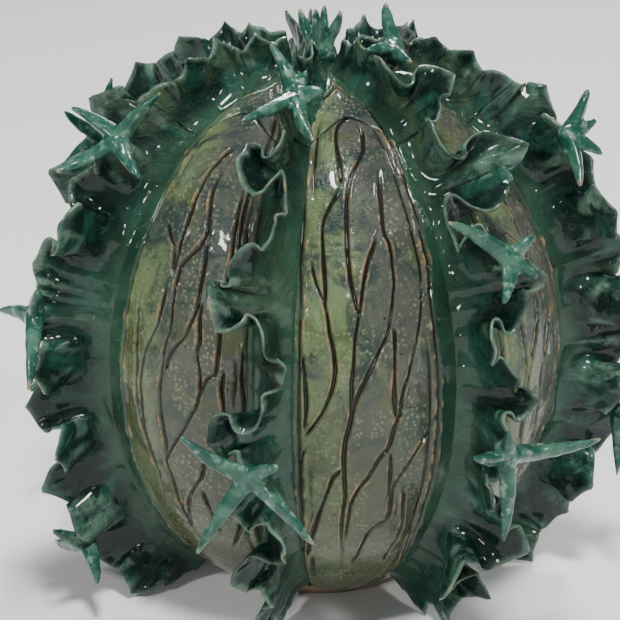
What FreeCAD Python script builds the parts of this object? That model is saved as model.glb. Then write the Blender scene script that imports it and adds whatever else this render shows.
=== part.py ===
import FreeCAD, Part
import math
import os

import Sketcher

# A stoneware soup tureen shaped like a ribbed barrel cactus, in millimetres.
#
# The bowl is an ellipsoid wall of seven gores on a flat base slab.  A ruffled strip of clay is
# luted over each joint, and hand-rolled spine stars sit on the ruffles.  The crown is a lid: it is
# cut out of the wall on a slant along a seven-lobed outline, like the lid of a carved pumpkin, so
# it rests on the slant, fits in one position only, and lifts straight up.
#
# Frame: +Z up, the origin at the centre of the flat underside, and -Y the front.
# A rib's azimuth is measured from -Y towards +X.  A station is the angle, in degrees, that runs
# down a rib from 0 at the pole through 90 at the belly.

OUT_FOLDER = "parts"

SIZES = {
    "belly_radius": 120.0,
    "belly_height": 123.0,
    "half_height": 134.0,
    "wall": 7.0,
    "crown_wall": 8.0,
    "base_thickness": 9.0,
    "foot_radius": 54.0,
    "foot_chamfer": 2.0,
    "cap_lowest_latitude": 40.0,
    "inner_face_turn": 60.0,
    "seat_level": 235.0,
    "seat_rib_radius": 77.0,
    "seat_panel_radius": 51.0,
    "seat_slope": 48.0,
    "seat_gap": 0.5,
    "ring_outer_radius": 45.0,
    "ring_width": 5.0,
    "ring_bottom": 226.0,
    "ruffle_thickness": 4.5,
    "ruffle_root_depth": 5.0,
    "spine_hub_radius": 5.0,
    "spine_root_radius": 4.2,
    "spine_knee_radius": 2.9,
    "spine_knee_ball": 3.2,
    "spine_tip_radius": 0.9,
    "bud_radius": 9.5,
    "bud_height": 260.0,
    "bud_spike_radius": 3.6,
    "bud_spike_length": 24.0,
}

# Azimuth of each rib; the pitch is uneven, as it is on a hand-built pot.
RIB_AZIMUTHS = {1: -60.0, 2: -10.5, 3: 35.0, 4: 82.0, 5: 136.0, 6: 189.0, 7: 243.0}

# The folds of each ruffle: (station, sideways lean of the edge, height of the edge over the wall).
# Positive lean is anticlockwise seen from above.  The edge eases from each fold to the next.
FOLDS = {
    1: [(8, 0, 14), (15, 4, 18), (22, -5, 22), (29, 6, 26), (37, -2, 27), (43, -12, 32), (50, 10, 33),
        (57, -6, 30), (64, 14, 36), (72, -10, 33), (80, -8, 32), (88, 10, 35), (96, -8, 33),
        (103, 12, 30), (111, -10, 34), (119, 8, 35), (127, -9, 33), (136, 6, 33), (141, 3, 20),
        (146, 0, 8)],
    2: [(8, 0, 14), (15, 4, 18), (22, -5, 22), (29, 4, 26), (37, -2, 27), (42, 2, 29), (48, -18, 32),
        (53, 9, 31), (58, 3, 30), (64, -10, 32), (70, -23, 34), (76, 1, 30), (81, 9, 31), (86, 4, 30),
        (91, -21, 34), (97, -4, 31), (103, -10, 33), (110, 11, 32), (118, -13, 34), (125, 2, 31),
        (131, -6, 33), (136, -5, 33), (141, -3, 20), (146, 0, 8)],
    3: [(8, 0, 14), (14, -3, 18), (20, 4, 22), (27, -14, 28), (33, 14, 29), (37, 2, 27), (43, -15, 30),
        (49, 20, 35), (53, 12, 31), (58, -26, 30), (64, 2, 31), (69, 15, 35), (73, 6, 31), (78, -17, 32),
        (84, -4, 31), (88, 7, 33), (93, -9, 31), (99, -6, 31), (104, -13, 32), (110, 4, 31), (116, 17, 34),
        (122, -24, 33), (128, 6, 31), (133, -6, 33), (136, -4, 33), (141, -2, 20), (146, 0, 8)],
    4: [(8, 0, 14), (15, -4, 18), (22, 6, 22), (29, -7, 26), (37, 3, 27), (43, 12, 32), (51, -18, 33),
        (58, 9, 31), (66, -14, 34), (74, 8, 32), (83, -9, 36), (91, 13, 33), (99, -10, 31),
        (108, 12, 34), (117, -11, 32), (126, 9, 33), (136, -5, 33), (141, -3, 20), (146, 0, 8)],
    5: [(8, 0, 14), (14, 4, 18), (22, -6, 22), (30, 5, 26), (37, -2, 27), (44, 15, 33), (52, -9, 31),
        (61, 12, 35), (69, -15, 31), (78, 6, 34), (87, -11, 32), (95, 16, 34), (104, -8, 31),
        (112, 9, 35), (120, -13, 32), (128, 7, 32), (136, 8, 33), (141, 4, 20), (146, 0, 8)],
    6: [(8, 0, 14), (15, -3, 18), (23, 5, 22), (30, -6, 26), (37, 2, 27), (45, -15, 33), (53, 8, 32),
        (62, -12, 35), (70, 13, 32), (79, -8, 33), (88, 15, 35), (97, -12, 31), (105, 9, 34),
        (113, -14, 33), (121, 6, 31), (128, -8, 33), (136, 4, 33), (141, 2, 20), (146, 0, 8)],
    7: [(8, 0, 14), (15, 4, 18), (22, -4, 22), (30, 7, 26), (37, -2, 27), (44, -11, 33), (51, 13, 34),
        (59, -9, 31), (67, 15, 35), (76, -12, 32), (84, 7, 34), (92, -15, 35), (101, 10, 31),
        (109, -9, 34), (117, 13, 33), (126, -8, 32), (136, -7, 33), (141, -4, 20), (146, 0, 8)],
}

# Spine stars: name, body, rib, station, sideways offset, height of the hub over the wall, turn of
# the star's face about the meridian, and its spines as (direction, length, lift, bend).
# Direction 0 points up the rib and 90 along positive lean; lift is out of the star's own plane.
STARS = [
    ("star_2_top", "lid", 2, 34, 4, 28, 0,
     [(333, 28, 16, -12), (162, 42, 18, -10), (206, 38, 28, 10), (12, 14, 12, 8), (84, 14, 16, 6)]),
    ("star_3_top", "lid", 3, 21, 4, 24, 0,
     [(15, 26, 24, 8), (249, 24, 16, 12), (204, 26, 16, -10)]),
    ("star_1_upper", "bowl", 1, 47.5, 13, 31, 36,
     [(276, 28, 8, -10), (12, 30, 20, 12), (204, 32, 12, 10), (120, 24, 8, -12)]),
    ("star_1_middle", "bowl", 1, 80, -2, 33, 0,
     [(267, 26, 16, -12), (126, 42, 20, 10), (30, 20, 16, 8)]),
    ("star_1_lower", "bowl", 1, 123, -2, 34, 0,
     [(20, 28, 24, 8), (110, 27, 20, -10), (255, 30, 20, 10)]),
    ("star_2_lower", "bowl", 2, 96.5, -3, 34, 0,
     [(303, 36, 16, 10), (216, 42, 16, -6), (120, 42, 28, 8), (54, 22, 28, -10)]),
    ("star_3_upper", "bowl", 3, 65.5, 1, 34, -12,
     [(309, 40, 16, -14), (140, 15, 30, 8), (202, 21, 10, 10), (54, 15, 20, 8)]),
    ("star_3_lower", "bowl", 3, 96, -7, 34, -8,
     [(339, 18, 24, 4), (90, 46, 6, -8), (282, 26, 20, 10), (183, 40, 14, 6)]),
    ("star_4_upper", "bowl", 4, 50.5, -18, 33, -26,
     [(72, 28, 16, -10), (153, 20, 16, 8), (226, 30, 12, 10), (104, 20, 16, -6)]),
    ("star_4_lower", "bowl", 4, 103, 0, 33, 0,
     [(15, 30, 22, 9), (100, 32, 18, -9), (190, 34, 16, 8), (280, 29, 24, -10)]),
    ("star_5_middle", "bowl", 5, 72, -8, 32, 0,
     [(350, 34, 18, 9), (75, 30, 24, -8), (160, 36, 14, 8), (250, 33, 20, 10)]),
    ("star_5_lower", "bowl", 5, 110, 5, 34, 0,
     [(35, 33, 18, -9), (120, 34, 14, 8), (210, 36, 14, -8), (305, 31, 22, 9)]),
    ("star_6_upper", "bowl", 6, 55, 3, 32, 0,
     [(5, 33, 20, 8), (85, 31, 20, -9), (165, 35, 16, 8), (245, 32, 18, -8), (315, 24, 38, 6)]),
    ("star_6_middle", "bowl", 6, 88, 12, 35, 0,
     [(30, 35, 18, 9), (115, 33, 18, -8), (205, 37, 12, 8), (290, 34, 18, -9)]),
    ("star_6_lower", "bowl", 6, 119, 1, 33, 0,
     [(345, 31, 20, 8), (70, 29, 22, -8), (265, 33, 18, 9)]),
    ("star_7_upper", "bowl", 7, 60, -7, 32, 0,
     [(345, 32, 20, 9), (65, 33, 18, -9), (155, 34, 16, 8), (235, 35, 16, -8)]),
    ("star_7_lower", "bowl", 7, 104, 4, 33, 0,
     [(15, 34, 18, -8), (105, 32, 20, 9), (190, 38, 12, 8), (280, 33, 20, -9)]),
]

# Upright spikes of the crown bud: (azimuth, tilt from the vertical).
BUD_SPIKES = [(-20, 16), (75, 24), (165, 20), (250, 26)]

LEAN_POWER = 1.5  # how the sideways lean grows from the root of a ruffle to its edge
STATION_STEP = 2.25  # spacing of the stations at which a ruffle's surface is pinned
RUFFLE_LEVELS = [0.0, 0.14, 0.3, 0.5, 0.7, 0.86, 1.0]  # from the buried root to the edge
SEAT_POINTS_PER_RIB = 8
UPWARD = FreeCAD.Vector(0, 0, 1)
LOFT_LOW = 200.0
LOFT_HIGH = 320.0
KNEE_SHARE = 0.55  # how far along a spine its knee is
LARGEST_VOLUME = 250e3  # more than any one piece of clay here holds, in cubic millimetres

doc = FreeCAD.newDocument("tureen")


def make_sheet():
    """The spreadsheet of driving dimensions, one aliased cell each."""
    sheet = doc.addObject("Spreadsheet::Sheet", "dimensions")
    values = dict(SIZES)
    for rib, azimuth in RIB_AZIMUTHS.items():
        values[f"rib_azimuth_{rib}"] = azimuth
        following = RIB_AZIMUTHS.get(rib + 1, RIB_AZIMUTHS[1] + 360.0)
        values[f"panel_width_{rib}"] = following - azimuth
    for row, (alias, value) in enumerate(values.items(), start=1):
        sheet.set(f"A{row}", alias)
        sheet.set(f"B{row}", str(value))
        sheet.setAlias(f"B{row}", alias)
    doc.recompute()
    return sheet


sheet = make_sheet()


def size(alias):
    """A driving dimension, read back from the sheet."""
    return float(sheet.get(alias))


def bind(obj, **expressions):
    """Binds properties of an object to the sheet's cells."""
    for name, expression in expressions.items():
        obj.setExpression(name, expression)


def finished(obj, label):
    """Names a sub-part."""
    obj.Label = label
    return obj


# ---------------------------------------------------------------- the ellipsoid wall


def ellipsoid(name, inner=False):
    """A whole ellipsoid: the wall's outer face, or its inner face."""
    solid = doc.addObject("Part::Ellipsoid", name)
    take = " - dimensions.wall" if inner else ""
    take_crown = " - dimensions.crown_wall" if inner else ""
    bind(
        solid,
        Radius1="dimensions.half_height" + take_crown,
        Radius2="dimensions.belly_radius" + take,
        Radius3="dimensions.belly_radius" + take,
    )
    bind(solid, **{"Placement.Base.z": "dimensions.belly_height"})
    if inner:
        # Its own seam is turned clear of every gore's edge, which keeps the cuts sound.
        bind(solid, **{"Placement.Rotation.Angle": "dimensions.inner_face_turn"})
    return solid


def cut(name, base, tool):
    """base less tool."""
    result = doc.addObject("Part::Cut", name)
    result.Base = base
    result.Tool = tool
    return result


def common(name, base, tool):
    """What base and tool share."""
    result = doc.addObject("Part::MultiCommon", name)
    result.Shapes = [base, tool]
    return result


def wall_point(station):
    """(radius, height) of the wall's outer face at a station."""
    turn = math.radians(station)
    return (
        size("belly_radius") * math.sin(turn),
        size("belly_height") + size("half_height") * math.cos(turn),
    )


def wall_normal(station):
    """(outward, upward) parts of the wall's unit normal at a station."""
    turn = math.radians(station)
    outward = math.sin(turn) / size("belly_radius")
    upward = math.cos(turn) / size("half_height")
    length = math.hypot(outward, upward)
    return outward / length, upward / length


def rib_axes(rib):
    """Unit vectors away from the axis and sideways (positive lean) at a rib's azimuth."""
    azimuth = math.radians(size(f"rib_azimuth_{rib}"))
    away = FreeCAD.Vector(math.sin(azimuth), -math.cos(azimuth), 0)
    sideways = FreeCAD.Vector(math.cos(azimuth), math.sin(azimuth), 0)
    return away, sideways


def place_on_rib(rib, station, sideways_mm, height_mm):
    """The point that stands height_mm over the wall at a station of a rib, moved sideways."""
    away, sideways = rib_axes(rib)
    radius, level = wall_point(station)
    outward, upward = wall_normal(station)
    point = away * (radius + outward * height_mm) + sideways * sideways_mm
    point.z = level + upward * height_mm
    return point


# ---------------------------------------------------------------- the lid's slanted seat


def seat_radius(azimuth):
    """Radius of the seat's outline at its reference level: a lobe at each rib."""
    ribs = sorted(RIB_AZIMUTHS.values())
    ribs.append(ribs[0] + 360.0)
    while azimuth < ribs[0]:
        azimuth += 360.0
    while azimuth >= ribs[-1]:
        azimuth -= 360.0
    for start, end in zip(ribs, ribs[1:]):
        if start <= azimuth < end:
            share = (azimuth - start) / (end - start)
    middle = (size("seat_rib_radius") + size("seat_panel_radius")) / 2
    swing = (size("seat_rib_radius") - size("seat_panel_radius")) / 2
    return middle + swing * math.cos(2 * math.pi * share)


def seat_outline(level):
    """The seat's closed outline at a height, as a periodic spline."""
    grow = (level - size("seat_level")) * math.tan(math.radians(size("seat_slope")))
    ribs = sorted(RIB_AZIMUTHS.values())
    ribs.append(ribs[0] + 360.0)
    points = []
    for start, end in zip(ribs, ribs[1:]):
        for step in range(SEAT_POINTS_PER_RIB):
            azimuth = start + (end - start) * step / SEAT_POINTS_PER_RIB
            radius = seat_radius(azimuth) + grow
            turn = math.radians(azimuth)
            points.append(FreeCAD.Vector(radius * math.sin(turn), -radius * math.cos(turn), level))
    curve = Part.BSplineCurve()
    curve.interpolate(Points=points, PeriodicFlag=True)
    return Part.Wire([curve.toShape()])


def seat_cutter(name, drop):
    """The solid inside the slanted seat, lowered by drop to leave a gap round the lid."""
    outlines = []
    for label, level in (("low", LOFT_LOW), ("high", LOFT_HIGH)):
        outline = doc.addObject("Part::Feature", f"{name}_{label}")
        outline.Shape = seat_outline(level)
        outline.Placement = FreeCAD.Placement(FreeCAD.Vector(0, 0, -drop), FreeCAD.Rotation())
        outlines.append(outline)
    cutter = doc.addObject("Part::Loft", name)
    cutter.Sections = outlines
    cutter.Solid = True
    cutter.Ruled = True
    return cutter


# ---------------------------------------------------------------- bowl and lid walls


def wall_panel(rib, hollow, mouth):
    """One gore of the bowl's wall, from a rib to the next, standing on the base slab."""
    gore = doc.addObject("Part::Ellipsoid", f"gore_{rib}")
    bind(
        gore,
        Radius1="dimensions.half_height",
        Radius2="dimensions.belly_radius",
        Radius3="dimensions.belly_radius",
        Angle1="asin((dimensions.base_thickness - dimensions.belly_height) / dimensions.half_height)",
        Angle3=f"dimensions.panel_width_{rib}",
    )
    bind(
        gore,
        **{
            "Placement.Base.z": "dimensions.belly_height",
            "Placement.Rotation.Angle": f"dimensions.rib_azimuth_{rib} - 90",
        },
    )
    shell = cut(f"gore_shell_{rib}", gore, hollow)
    return finished(cut(f"panel_{rib}", shell, mouth), f"wall_panel_{rib}")


def lid_cap(hollow, plug):
    """The dome of the lid, from the crown of the same ellipsoid."""
    dome = doc.addObject("Part::Ellipsoid", "dome")
    bind(
        dome,
        Radius1="dimensions.half_height",
        Radius2="dimensions.belly_radius",
        Radius3="dimensions.belly_radius",
        Angle1="dimensions.cap_lowest_latitude",
    )
    bind(dome, **{"Placement.Base.z": "dimensions.belly_height"})
    shell = cut("dome_shell", dome, hollow)
    return finished(common("cap", shell, plug), "lid_cap")


def revolved_body(name, outline, bindings):
    """A PartDesign body turned about Z from a closed outline of (radius, height) corners.

    bindings holds (corner, axis, expression): that corner's distance from the origin along X or Y
    of the sketch is bound to the sheet.
    """
    body = doc.addObject("PartDesign::Body", name)
    sketch = body.newObject("Sketcher::SketchObject", f"{name}_section")
    plane = next(f for f in body.Origin.OriginFeatures if f.Role == "XZ_Plane")
    sketch.AttachmentSupport = [(plane, "")]
    sketch.MapMode = "FlatFace"
    corners = [FreeCAD.Vector(radius, height, 0) for radius, height in outline]
    count = len(corners)
    for index in range(count):
        sketch.addGeometry(Part.LineSegment(corners[index], corners[(index + 1) % count]), False)
    for index in range(count):
        sketch.addConstraint(Sketcher.Constraint("Coincident", index, 2, (index + 1) % count, 1))
    for corner, axis, expression in bindings:
        value = corners[corner].x if axis == "X" else corners[corner].y
        kind = f"Distance{axis}"
        if value == 0:
            target = -2 if axis == "X" else -1
            sketch.addConstraint(Sketcher.Constraint("PointOnObject", corner, 1, target))
            continue
        row = sketch.addConstraint(Sketcher.Constraint(kind, -1, 1, corner, 1, value))
        sketch.setExpression(f"Constraints[{row}]", expression)
    turned = body.newObject("PartDesign::Revolution", f"{name}_turned")
    turned.Profile = sketch
    turned.ReferenceAxis = (sketch, ["V_Axis"])
    turned.Angle = 360.0
    doc.recompute()
    return body, turned


def base_slab():
    """The flat slab that the wall stands on, with its lower edge chamfered."""
    thick = size("base_thickness")
    rise = (thick - size("belly_height")) / size("half_height")
    top_radius = size("belly_radius") * math.sqrt(1 - rise * rise)
    outline = [(0, 0), (size("foot_radius"), 0), (top_radius, thick), (0, thick)]
    share = "(dimensions.base_thickness - dimensions.belly_height) / dimensions.half_height"
    body, turned = revolved_body(
        "slab",
        outline,
        [
            (0, "X", ""),
            (0, "Y", ""),
            (1, "X", "dimensions.foot_radius"),
            (1, "Y", ""),
            (2, "X", f"dimensions.belly_radius * sqrt(1 - ({share}) ^ 2)"),
            (2, "Y", "dimensions.base_thickness"),
            (3, "X", ""),
            (3, "Y", "dimensions.base_thickness"),
        ],
    )
    low = min(turned.Shape.Edges, key=lambda edge: (edge.BoundBox.ZMax, -edge.BoundBox.XMax))
    chamfer = body.newObject("PartDesign::Chamfer", "slab_chamfer")
    chamfer.Base = (turned, [f"Edge{index}" for index, edge in enumerate(turned.Shape.Edges, 1)
                             if edge.isSame(low)])
    bind(chamfer, Size="dimensions.foot_chamfer")
    return finished(body, "base_slab")


def locating_ring(hollow):
    """The ring under the lid that drops into the mouth; its top follows the lid's inner face."""
    outer = size("ring_outer_radius")
    inner = outer - size("ring_width")
    low = size("ring_bottom")
    high = size("belly_height") + size("half_height")
    body, _ = revolved_body(
        "ring_blank",
        [(inner, low), (outer, low), (outer, high), (inner, high)],
        [
            (0, "X", "dimensions.ring_outer_radius - dimensions.ring_width"),
            (0, "Y", "dimensions.ring_bottom"),
            (1, "X", "dimensions.ring_outer_radius"),
            (1, "Y", "dimensions.ring_bottom"),
            (2, "X", "dimensions.ring_outer_radius"),
            (2, "Y", "dimensions.belly_height + dimensions.half_height"),
            (3, "X", "dimensions.ring_outer_radius - dimensions.ring_width"),
            (3, "Y", "dimensions.belly_height + dimensions.half_height"),
        ],
    )
    return finished(common("ring", body, hollow), "lid_locating_ring")


# ---------------------------------------------------------------- ruffles


def ease(share):
    """Smooth step from 0 to 1, level at both ends."""
    return share * share * (3 - 2 * share)


def edge_at(rib, station):
    """(lean, height) of a ruffle's edge at a station, eased from fold to fold."""
    folds = FOLDS[rib]
    for (start, lean_a, high_a), (end, lean_b, high_b) in zip(folds, folds[1:]):
        if station <= end:
            share = ease(max(0.0, (station - start) / (end - start)))
            return lean_a + (lean_b - lean_a) * share, high_a + (high_b - high_a) * share
    return folds[-1][1], folds[-1][2]


def ruffle_middle(rib, station, level):
    """A point of the ruffle's middle surface; level 0 is buried in the wall and 1 is the edge."""
    lean, height = edge_at(rib, station)
    depth = size("ruffle_root_depth")
    rise = -depth + (height + depth) * level
    sideways = lean * max(0.0, rise / height) ** LEAN_POWER
    return place_on_rib(rib, station, sideways, rise)


def ruffle_face_point(rib, station, level, side):
    """A point of one face of the ruffle: half a thickness off its middle surface."""
    nudge = 0.01
    along = ruffle_middle(rib, station + nudge, level) - ruffle_middle(rib, station - nudge, level)
    across = ruffle_middle(rib, station, level + nudge) - ruffle_middle(rib, station, level - nudge)
    normal = along.cross(across)
    normal.normalize()
    half = size("ruffle_thickness") / 2
    return ruffle_middle(rib, station, level) + normal * (half * side)


def ruffle_blank(rib):
    """The whole ruffle of a rib, with its root still buried in the wall."""
    first, last = FOLDS[rib][0][0], FOLDS[rib][-1][0]
    count = int(round((last - first) / STATION_STEP))
    stations = [first + (last - first) * step / count for step in range(count + 1)]
    surfaces = []
    for side in (-1, 1):
        grid = [[ruffle_face_point(rib, station, level, side) for level in RUFFLE_LEVELS]
                for station in stations]
        surface = Part.BSplineSurface()
        surface.interpolate(grid)
        surfaces.append(surface)
    left, right = surfaces
    u_low, u_high, v_low, v_high = left.bounds()
    faces = [left.toShape(), right.toShape()]
    for low in (u_low, u_high):
        faces.append(Part.makeRuledSurface(left.uIso(low).toShape(), right.uIso(low).toShape()))
    for low in (v_low, v_high):
        faces.append(Part.makeRuledSurface(left.vIso(low).toShape(), right.vIso(low).toShape()))
    shell = Part.makeShell(faces)
    shell.sewShape()
    solid = Part.makeSolid(Part.makeShell(shell.Faces))
    if solid.Volume < 0:
        solid.reverse()
    blank = doc.addObject("Part::Feature", f"ruffle_blank_{rib}")
    blank.Shape = solid
    return blank


def ruffles(rib, envelope, plug, mouth):
    """A rib's ruffle, bedded on the wall and parted along the lid's seat."""
    bedded = cut(f"ruffle_{rib}", ruffle_blank(rib), envelope)
    bowl = finished(cut(f"ruffle_low_{rib}", bedded, mouth), f"bowl_ruffle_{rib}")
    lid = finished(common(f"ruffle_high_{rib}", bedded, plug), f"lid_ruffle_{rib}")
    return bowl, lid


# ---------------------------------------------------------------- spines


def towards(direction):
    """The rotation that turns +Z to a direction."""
    return FreeCAD.Rotation(FreeCAD.Vector(0, 0, 1), direction)


def cone(name, start, direction, length, low, high):
    """A tapered length of rolled clay."""
    piece = doc.addObject("Part::Cone", name)
    piece.Height = length
    bind(piece, Radius1=f"dimensions.{low}", Radius2=f"dimensions.{high}")
    piece.Placement = FreeCAD.Placement(start, towards(direction))
    return piece


def ball(name, centre, radius, along):
    """A ball of clay, its axis along the piece it joins, which keeps the later union clean."""
    piece = doc.addObject("Part::Sphere", name)
    bind(piece, Radius=f"dimensions.{radius}")
    piece.Placement = FreeCAD.Placement(centre, towards(along))
    return piece


def fuse(name, pieces):
    """Several pieces as one solid."""
    result = doc.addObject("Part::MultiFuse", name)
    result.Shapes = pieces
    return result


def star_axes(rib, station, turn):
    """The star's own axes: up the rib, sideways, and out of its face."""
    away, sideways = rib_axes(rib)
    outward, upward = wall_normal(station)
    out = away * outward
    out.z = upward
    up = away * -upward
    up.z = outward
    swing = FreeCAD.Rotation(up, turn)
    return up, swing.multVec(sideways), swing.multVec(out)


def spine_direction(axes, direction, lift):
    """A unit vector at an angle in the star's plane, lifted out of it."""
    up, sideways, out = axes
    turn, rise = math.radians(direction), math.radians(lift)
    flat = up * math.cos(turn) + sideways * math.sin(turn)
    return flat * math.cos(rise) + out * math.sin(rise)


def spine_star(name, rib, station, sideways_mm, height_mm, turn, spines):
    """A hub with a few tapered spines, each bent a little at its knee."""
    hub = place_on_rib(rib, station, sideways_mm, height_mm)
    axes = star_axes(rib, station, turn)
    pieces = [ball(f"{name}_hub", hub, "spine_hub_radius", UPWARD)]
    for index, (direction, length, lift, bend) in enumerate(spines):
        first = spine_direction(axes, direction, lift)
        second = spine_direction(axes, direction + bend, lift - bend / 2)
        knee = hub + first * (length * KNEE_SHARE)
        tag = f"{name}_spine_{index}"
        pieces.append(cone(f"{tag}_root", hub, first, length * KNEE_SHARE,
                           "spine_root_radius", "spine_knee_radius"))
        pieces.append(ball(f"{tag}_knee", knee, "spine_knee_ball", first))
        pieces.append(cone(f"{tag}_tip", knee, second, length * (1 - KNEE_SHARE),
                           "spine_knee_radius", "spine_tip_radius"))
    return finished(fuse(f"{name}_whole", pieces), name)


def crown_bud(envelope):
    """The bud at the pole that the lid is lifted by, with its upright spikes."""
    centre = FreeCAD.Vector(0, 0, size("bud_height"))
    pieces = [ball("bud_core", centre, "bud_radius", UPWARD)]
    for index, (azimuth, tilt) in enumerate(BUD_SPIKES):
        turn, lean = math.radians(azimuth), math.radians(tilt)
        direction = FreeCAD.Vector(
            math.sin(turn) * math.sin(lean), -math.cos(turn) * math.sin(lean), math.cos(lean)
        )
        spike = cone(f"bud_spike_{index}", centre, direction, 1.0, "bud_spike_radius", "spine_tip_radius")
        bind(spike, Height="dimensions.bud_spike_length")
        pieces.append(spike)
    return finished(cut("bud", fuse("bud_whole", pieces), envelope), "crown_bud")


# ---------------------------------------------------------------- the whole tureen


def build():
    """Builds every sub-part and returns them in order."""
    envelope = ellipsoid("envelope")
    hollow = ellipsoid("hollow", inner=True)
    plug = seat_cutter("plug", 0.0)
    mouth = seat_cutter("mouth", size("seat_gap"))
    doc.recompute()
    parts = [base_slab()]
    parts += [wall_panel(rib, hollow, mouth) for rib in RIB_AZIMUTHS]
    parts += [lid_cap(hollow, plug), locating_ring(hollow), crown_bud(envelope)]
    for rib in RIB_AZIMUTHS:
        parts += ruffles(rib, envelope, plug, mouth)
    for name, _, rib, station, sideways_mm, height_mm, turn, spines in STARS:
        parts.append(spine_star(name, rib, station, sideways_mm, height_mm, turn, spines))
    doc.recompute()
    return parts


def check(parts):
    """Stops the build if any object failed, any sub-part isn't one sound solid, or any is solid
    where it should be hollow."""
    for obj in doc.Objects:
        if "Invalid" in obj.State or "Error" in obj.State:
            raise RuntimeError(f"{obj.Label} failed to recompute")
    for part in parts:
        shape = part.Shape
        if shape.isNull() or not shape.isValid() or shape.Volume <= 0:
            raise RuntimeError(f"{part.Label} isn't a sound solid")
        if len(shape.Solids) != 1:
            raise RuntimeError(f"{part.Label} is {len(shape.Solids)} solids, not one")
        if shape.Volume > LARGEST_VOLUME:
            raise RuntimeError(f"{part.Label} has lost its hollow")


def export(parts):
    """Writes one STEP file per sub-part."""
    os.makedirs(OUT_FOLDER, exist_ok=True)
    for part in parts:
        part.Shape.exportStep(os.path.join(OUT_FOLDER, f"{part.Label}.step"))
        print(f"{part.Label}: {part.Shape.Volume / 1000:.2f} cm3")


built = build()
check(built)
export(built)
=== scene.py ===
"""Builds the looks of a hand-built stoneware soup tureen shaped like a ribbed barrel cactus.

Every length in the classes below is in millimetres and every mesh is handed to Blender in metres.
A place on the pot is given by an azimuth, in degrees from the front (-Y) towards +X, and a station,
the angle in degrees that runs down the wall from 0 at the pole through 90 at the belly.
"""

import logging
import math
from dataclasses import dataclass, field
from enum import Enum

import bpy
import numpy as np
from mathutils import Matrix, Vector


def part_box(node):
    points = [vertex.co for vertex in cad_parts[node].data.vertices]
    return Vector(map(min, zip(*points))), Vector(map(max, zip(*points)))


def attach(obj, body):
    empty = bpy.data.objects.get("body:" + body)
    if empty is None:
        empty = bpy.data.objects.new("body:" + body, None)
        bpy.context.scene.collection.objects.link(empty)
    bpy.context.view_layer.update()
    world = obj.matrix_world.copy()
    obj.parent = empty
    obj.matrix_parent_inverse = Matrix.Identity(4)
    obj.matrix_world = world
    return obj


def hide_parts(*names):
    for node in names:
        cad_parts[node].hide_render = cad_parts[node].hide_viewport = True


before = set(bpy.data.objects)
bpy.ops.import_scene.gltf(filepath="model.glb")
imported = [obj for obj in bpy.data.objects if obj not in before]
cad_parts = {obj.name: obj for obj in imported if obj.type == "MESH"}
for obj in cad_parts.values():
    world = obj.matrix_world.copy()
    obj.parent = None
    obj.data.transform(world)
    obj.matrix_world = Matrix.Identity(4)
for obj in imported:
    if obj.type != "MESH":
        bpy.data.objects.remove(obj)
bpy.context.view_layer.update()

log = logging.getLogger("tureen")

MM = 0.001
Array = np.ndarray

RIB_AZIMUTHS = {1: -60.0, 2: -10.5, 3: 35.0, 4: 82.0, 5: 136.0, 6: 189.0, 7: 243.0}

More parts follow.
